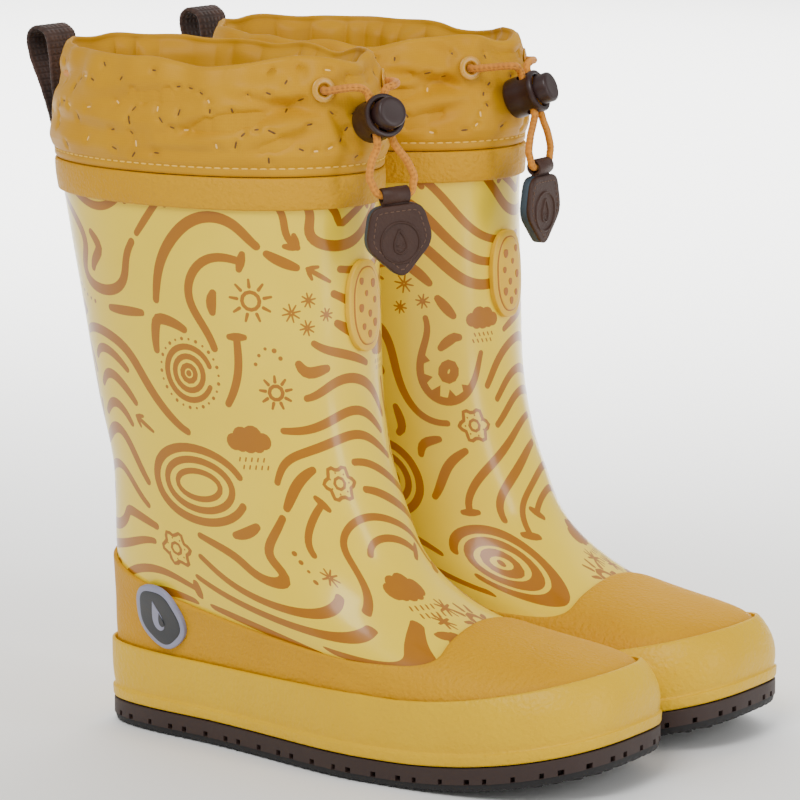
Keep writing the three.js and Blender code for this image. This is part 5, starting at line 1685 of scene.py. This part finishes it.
emblem_z = TAG_TOP - 0.5 * TAG_HEIGHT
a = np.linspace(0, 2 * math.pi, 60)
ring_path = np.column_stack([6.6 * np.cos(a), emblem_z + 6.6 * np.sin(a)])
drop_path = np.column_stack([2.9 * np.sin(a) * np.sin(a / 2) ** 1.2, emblem_z + 0.4 + 3.9 * np.cos(a)])
for side, flip in FLIP.items():
    lean = Matrix.Rotation(math.radians({"right": 5.0, "left": 0.0}[side]), 4, "X")
    matrix = np.array(Matrix.Translation(loop_hold[side]) @ Matrix.Rotation(lock_yaw[side], 4, "Z") @ lean)
    body = f"{side}_tag"

    def tag_piece(name, points, faces, material, nodes=()):
        obj = set_piece(side, name, matrix, points, faces, material, 60)
        return settle(obj, body, nodes)

    tag_piece("tag_face", *plate(tag_outline, 0.75, 2.0, 0.15, 0.5), tag_leather, [f"{side}_tag_front"])
    tag_piece("tag_reverse", *plate(tag_outline, -2.0, 0.72, 0.5, 0.05), tag_backing, [f"{side}_tag_back"])
    tag_piece("tag_emblem_ring", *ribbon(ring_path, 0.9, 0.4, 2.0), tag_leather)
    tag_piece("tag_emblem_drop", *ribbon(drop_path, 0.9, 0.4, 2.0), tag_leather)
    span = np.linspace(-1, 1, 8)
    for k, z in enumerate((-0.9, 0.9)):
        wave = np.column_stack([span * 1.3, emblem_z - 1.6 + z * 0.9 + 0.35 * np.sin(span * 3)])
        tag_piece(f"tag_emblem_wave_{k}", *ribbon(wave, 0.6, 0.22, 2.0), tag_leather)
    seam = shrunk(tag_outline, 2.1)
    seam = np.vstack([seam, seam[:1]])
    seam = np.column_stack([np.full(len(seam), 2.02), seam])
    way = np.gradient(seam, axis=0) @ matrix[:3, :3].T
    normal = np.tile(matrix[:3, 0], (len(seam), 1))
    obj = repeat(path_tree, f"{side}_tag_stitches", place(moved(seam, matrix), side), normal * flip,
                 way * flip, stitch_shape, brown_thread, (1.35 * MM, 0.4 * MM, 0.35 * MM),
                 spacing=1.9 * MM)
    settle(obj, body)

    # The strap: a leather ribbon folded over the cord, its ends between the plates.
    turn = np.linspace(-math.pi / 2 + 0.25, 1.5 * math.pi - 0.25, 36)
    fold = [(0.45, -8.5), (0.45, -4.0), (0.5, -2.9)]
    fold += [(2.3 * math.cos(t), 2.3 * math.sin(t)) for t in turn]
    fold += [(-0.5, -2.9), (-0.45, -4.0), (-0.45, -8.5)]
    fold = even(fold, 0.35)
    rows = []
    for (x, z), (ax, az) in zip(fold, -beside(fold)):
        rows.append([(x + ax * o, y, z + az * o) for y, o in (
            (-4.7, -0.25), (-4.7, 0.25), (-4.45, 0.5), (4.45, 0.5), (4.7, 0.25), (4.7, -0.25), (4.45, -0.5),
            (-4.45, -0.5))])
    points, faces = loft(np.array(rows), joined=False)
    tag_piece("tag_strap_fold", points, faces, tag_leather, [f"{side}_tag_strap"])

# %% [markdown]
# ## Badges
# The heel badge is a patch of reflective film with a pale border, and the shin badge is moulded in
# soft plastic. Each is a stack of outlines that follow the last, so it lies close to the curve. Their
# emblems are plain drops and spots.

# %% Badges
def patch(outline_points, out, wall, rounding=0.3):
    """A patch on the last inside an outline of (share, height)."""
    p = np.asarray(outline_points, float)
    centre = p.mean(0)
    rows = []
    steps = [(0.9, out), (1.0, out), (1.0, out + wall - rounding), (0.985, out + wall - rounding * 0.3),
             (0.955, out + wall)] + [(s, out + wall + 0.02) for s in (0.85, 0.65, 0.45, 0.25, 0.06)]
    for size, offset in steps:
        q = centre + (p - centre) * size
        rows.append(skin(q[:, 0], q[:, 1], offset))
    return loft(rows, joined=False)


def upright(share, height, x, z):
    """Places on the last that lie x across and z up from a place, as seen straight on."""
    centre = skin(share, height, 0)
    way = skin(share + 0.01, height, 0) - skin(share - 0.01, height, 0)
    way = way / np.linalg.norm(way)
    spread = share + np.linspace(-0.1, 0.1, 81)
    found = [np.interp(a, (skin(spread, height + b, 0) - centre) @ way, spread) for a, b in zip(x, z)]
    return np.column_stack([found, height + z])


def round_outline(share, height, width, tall, power, lobes, depth, steps=96):
    """An oval that a higher power makes squarer, with a few shallow lobes."""
    def bow(v):
        return np.sign(v) * np.abs(v) ** (2 / power)

    t = circle(steps)
    reach = 1 + depth * np.cos(lobes * t)
    x, z = bow(np.sin(t)) * width / 2 * reach, -bow(np.cos(t)) * tall / 2 * reach
    return upright(share, height, x, z)


def drop_outline(share, height, size):
    t = circle(64)
    x, z = 0.62 * size * np.sin(t) * np.sin(t / 2) ** 1.3, size * np.cos(t)
    return upright(share, height, -x, z)


over = 2 * GAP + OVERLAY_WALL - 0.25
HEEL_BADGE_SHARE, HEEL_BADGE_Z, SHIN_BADGE_Z = 0.128, 42.35, SHAFT_TOP - 43.5


def heel_oval(width, tall, depth):
    return round_outline(HEEL_BADGE_SHARE, HEEL_BADGE_Z, width, tall, 2.0, 5, depth)


def heel_drop(rise, size):
    return drop_outline(HEEL_BADGE_SHARE, HEEL_BADGE_Z + rise, size)


def shin_oval(width, tall):
    return round_outline(0.5, SHIN_BADGE_Z, width, tall, 2.7, 4, 0.02)


# Each layer: outline, how far out it starts, how thick it is, material.
for name, shape, out, wall, material in (
        ("heel_badge_border", heel_oval(21.0, 22.8, 0.018), over, 1.35, film_border),
        ("heel_badge_field", heel_oval(17.4, 19.2, 0.03), over + 1.2, 0.28, film_field),
        ("heel_badge_drop", heel_drop(0.6, 5.4), over + 1.4, 0.2, film_border),
        ("heel_badge_drop_eye", heel_drop(-0.6, 2.6), over + 1.5, 0.22, film_field),
        ("shin_badge_base", shin_oval(16.4, 29.4), GAP - 0.2, 2.0, badge_rubber),
        ("shin_badge_ring", shin_oval(12.8, 25.4), GAP + 1.55, 0.45, badge_ink),
        ("shin_badge_face", shin_oval(11.9, 24.5), GAP + 1.65, 0.6, badge_rubber)):
    points, faces = patch(shape, out, wall, min(0.35, wall * 0.4))
    slot = "reflective" if "heel" in name else "badge_rubber"
    nodes = {"heel_badge_border": ["heel_badge"], "shin_badge_base": ["shin_badge"]}.get(name)
    both(name, points, faces, material, stands_for=nodes, sharp=60)
spots = [(-3.2, 8.4, 1.3), (2.6, 7.2, 1.6), (-1.0, 4.2, 1.1), (3.4, 1.6, 1.2), (-3.6, -0.4, 1.5),
         (0.6, -2.6, 1.3), (3.2, -5.8, 1.5), (-2.6, -6.6, 1.2), (0.2, -9.2, 1.4)]  # across, up, size
points, faces = np.zeros((0, 3)), []
for x, z, size in spots:
    spot = round_outline(0.5 + x / girth(SHIN_BADGE_Z), SHIN_BADGE_Z + z, size * 1.5, size * 1.9, 2.2, 3,
                         0.06, 20)
    p, f = patch(spot, GAP + 2.1, 0.28, 0.1)
    faces += [tuple(i + len(points) for i in face) for face in f]
    points = np.vstack([points, p])
both("shin_badge_spots", points, faces, badge_ink, sharp=60)

# %% [markdown]
# ## Pull loop
# A strip of polyester webbing stands behind the cuff, folded over at the top with both ends sewn
# under the cuff's hem. Webbing is woven in ribs across its length, which are in the mesh here,
# 1.1 mm apart, and its edges are rounder than its middle.

# %% Pull loop
RIB_EVERY, STEP = 1.1, 0.22
root = skin(0.0, SHAFT_TOP + 4, 0)[0] - 2.5
reach, high = 11.0, 41.5
centre = [(-1.8, 2), (-4.5, 0.28 * high), (-0.75 * reach, 0.52 * high), (-1.15 * reach, 0.76 * high),
          (-1.22 * reach, high - 3.4), (-0.95 * reach, high - 0.7), (-0.55 * reach, high - 2.6),
          (-0.4 * reach, 0.8 * high), (-0.3 * reach, 0.56 * high), (-2, 0.34 * high), (-0.2, 3.5)]
line = even(centripetal([(root + x, SHAFT_TOP + z, 0) for x, z in centre], 400), STEP)[:, :2]
walked = np.arange(len(line)) * STEP
rib = 0.13 * np.abs(np.sin(math.pi * walked / RIB_EVERY))
rows, webbing_u, webbing_v = [], [], []
ys = np.linspace(-7.3, 7.3, 15)
for k, ((x, z), (ax, az)) in enumerate(zip(line, beside(line))):
    row = []
    for sign, order in ((1, ys), (-1, ys[::-1])):
        for j, y in enumerate(order):
            twill = 0.05 * math.sin(y * 2.2 + walked[k] * 1.4)
            o = sign * (0.55 + rib[k] + twill)
            row.append((x + ax * o, y, z + az * o))
        row.append((x, 7.6 if sign > 0 else -7.6, z))
    rows.append(row)
    webbing_u += [p[1] for p in row]
    webbing_v += [walked[k]] * len(row)
points, faces = loft(np.array(rows), joined=False)
both("pull_loop_webbing", points, faces, webbing, part="pull_loop", stands_for=["pull_loop"],
     extra=lambda obj, side: cloth_map(obj, webbing_u, webbing_v))

# %% [markdown]
# A few solids stay as they are, because they are hidden or nearly so: the midsole, the cord in its
# channel and the lock's spring. They get the finish of what they are.

# %% Solids that stay
for side in SIDES:
    for name, material, slot in (("midsole", eva_foam, "foam"), ("drawcord", cord_braid, "cord_weave"),
                                 ("lock_spring", spring_steel, "spring_steel")):
        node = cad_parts[f"{side}_{name}"]
        node.data.materials.clear()
        node.data.materials.append(material)

# %% [markdown]
# ## Floor, light and camera
# A white floor and a white world give the plain, even ground of a studio. A large soft light high
# in front shapes the legs and leaves the heels a little darker, and a tall narrow one on the right
# draws the long highlight down their glossy fronts. A wide low one behind lifts the floor to white
# and hardly reaches the boots. The camera stands a little above them, far off with a long lens, so
# the upright lines stay nearly parallel.

# %% Stage and lights
bpy.ops.mesh.primitive_plane_add(size=6)
floor = bpy.context.object
floor.name = "studio_floor"
floor.data.transform(Matrix.Translation((0, 0, -0.0002)))
floor_paper = new_material("white_paper_floor", "#f4f4f2", 0.9)[0]
floor.data.materials.append(floor_paper)

world = bpy.data.worlds.new("white_studio")
bpy.context.scene.world = world
world.use_nodes = True
world.node_tree.nodes["Background"].inputs["Color"].default_value = linear("#ffffff")
world.node_tree.nodes["Background"].inputs["Strength"].default_value = 0.68


def area_light(name, place_m, aim_m, size, power):
    data = bpy.data.lights.new(name, "AREA")
    data.shape, data.size, data.size_y, data.energy = "RECTANGLE", size[0], size[1], power
    light = linked(name, data)
    light.location = place_m
    light.rotation_euler = (Vector(aim_m) - Vector(place_m)).to_track_quat("-Z", "Y").to_euler()
    return light


area_light("key_softbox", (0.35, -1.3, 1.55), (0, 0, 0.12), (0.8, 0.8), 24)
area_light("front_strip", (1.5, -0.05, 0.5), (0, 0, 0.1), (0.25, 1.0), 8)
ground_light = area_light("ground_light", (-1.1, 1.6, 0.5), (-1.1, 1.6, 0), (2.4, 2.4), 110)
ground_light.visible_glossy = False

# %% Camera
azimuth, elevation, distance = math.radians(34.5), math.radians(10.3), 1.420
target = Vector((0.0014, 0.0008, 0.109))
backwards = Vector((math.sin(azimuth) * math.cos(elevation), -math.cos(azimuth) * math.cos(elevation),
                    math.sin(elevation)))
camera_data = bpy.data.cameras.new("studio_camera")
camera_data.sensor_width, camera_data.lens = 36, 189.1
camera_data.clip_start, camera_data.clip_end = 0.05, 20
camera = linked("studio_camera", camera_data)
camera.location = target + backwards * distance
camera.rotation_euler = (-backwards).to_track_quat("-Z", "Y").to_euler()
bpy.context.scene.camera = camera

# %% [markdown]
# ## Finishing
# The two unit shapes that the trees repeated are removed again.

# %% Finish
for side in SIDES:
    obj, path = free_cords[side]
for shape in (stitch_shape, lug_shape):
    bpy.data.objects.remove(shape)
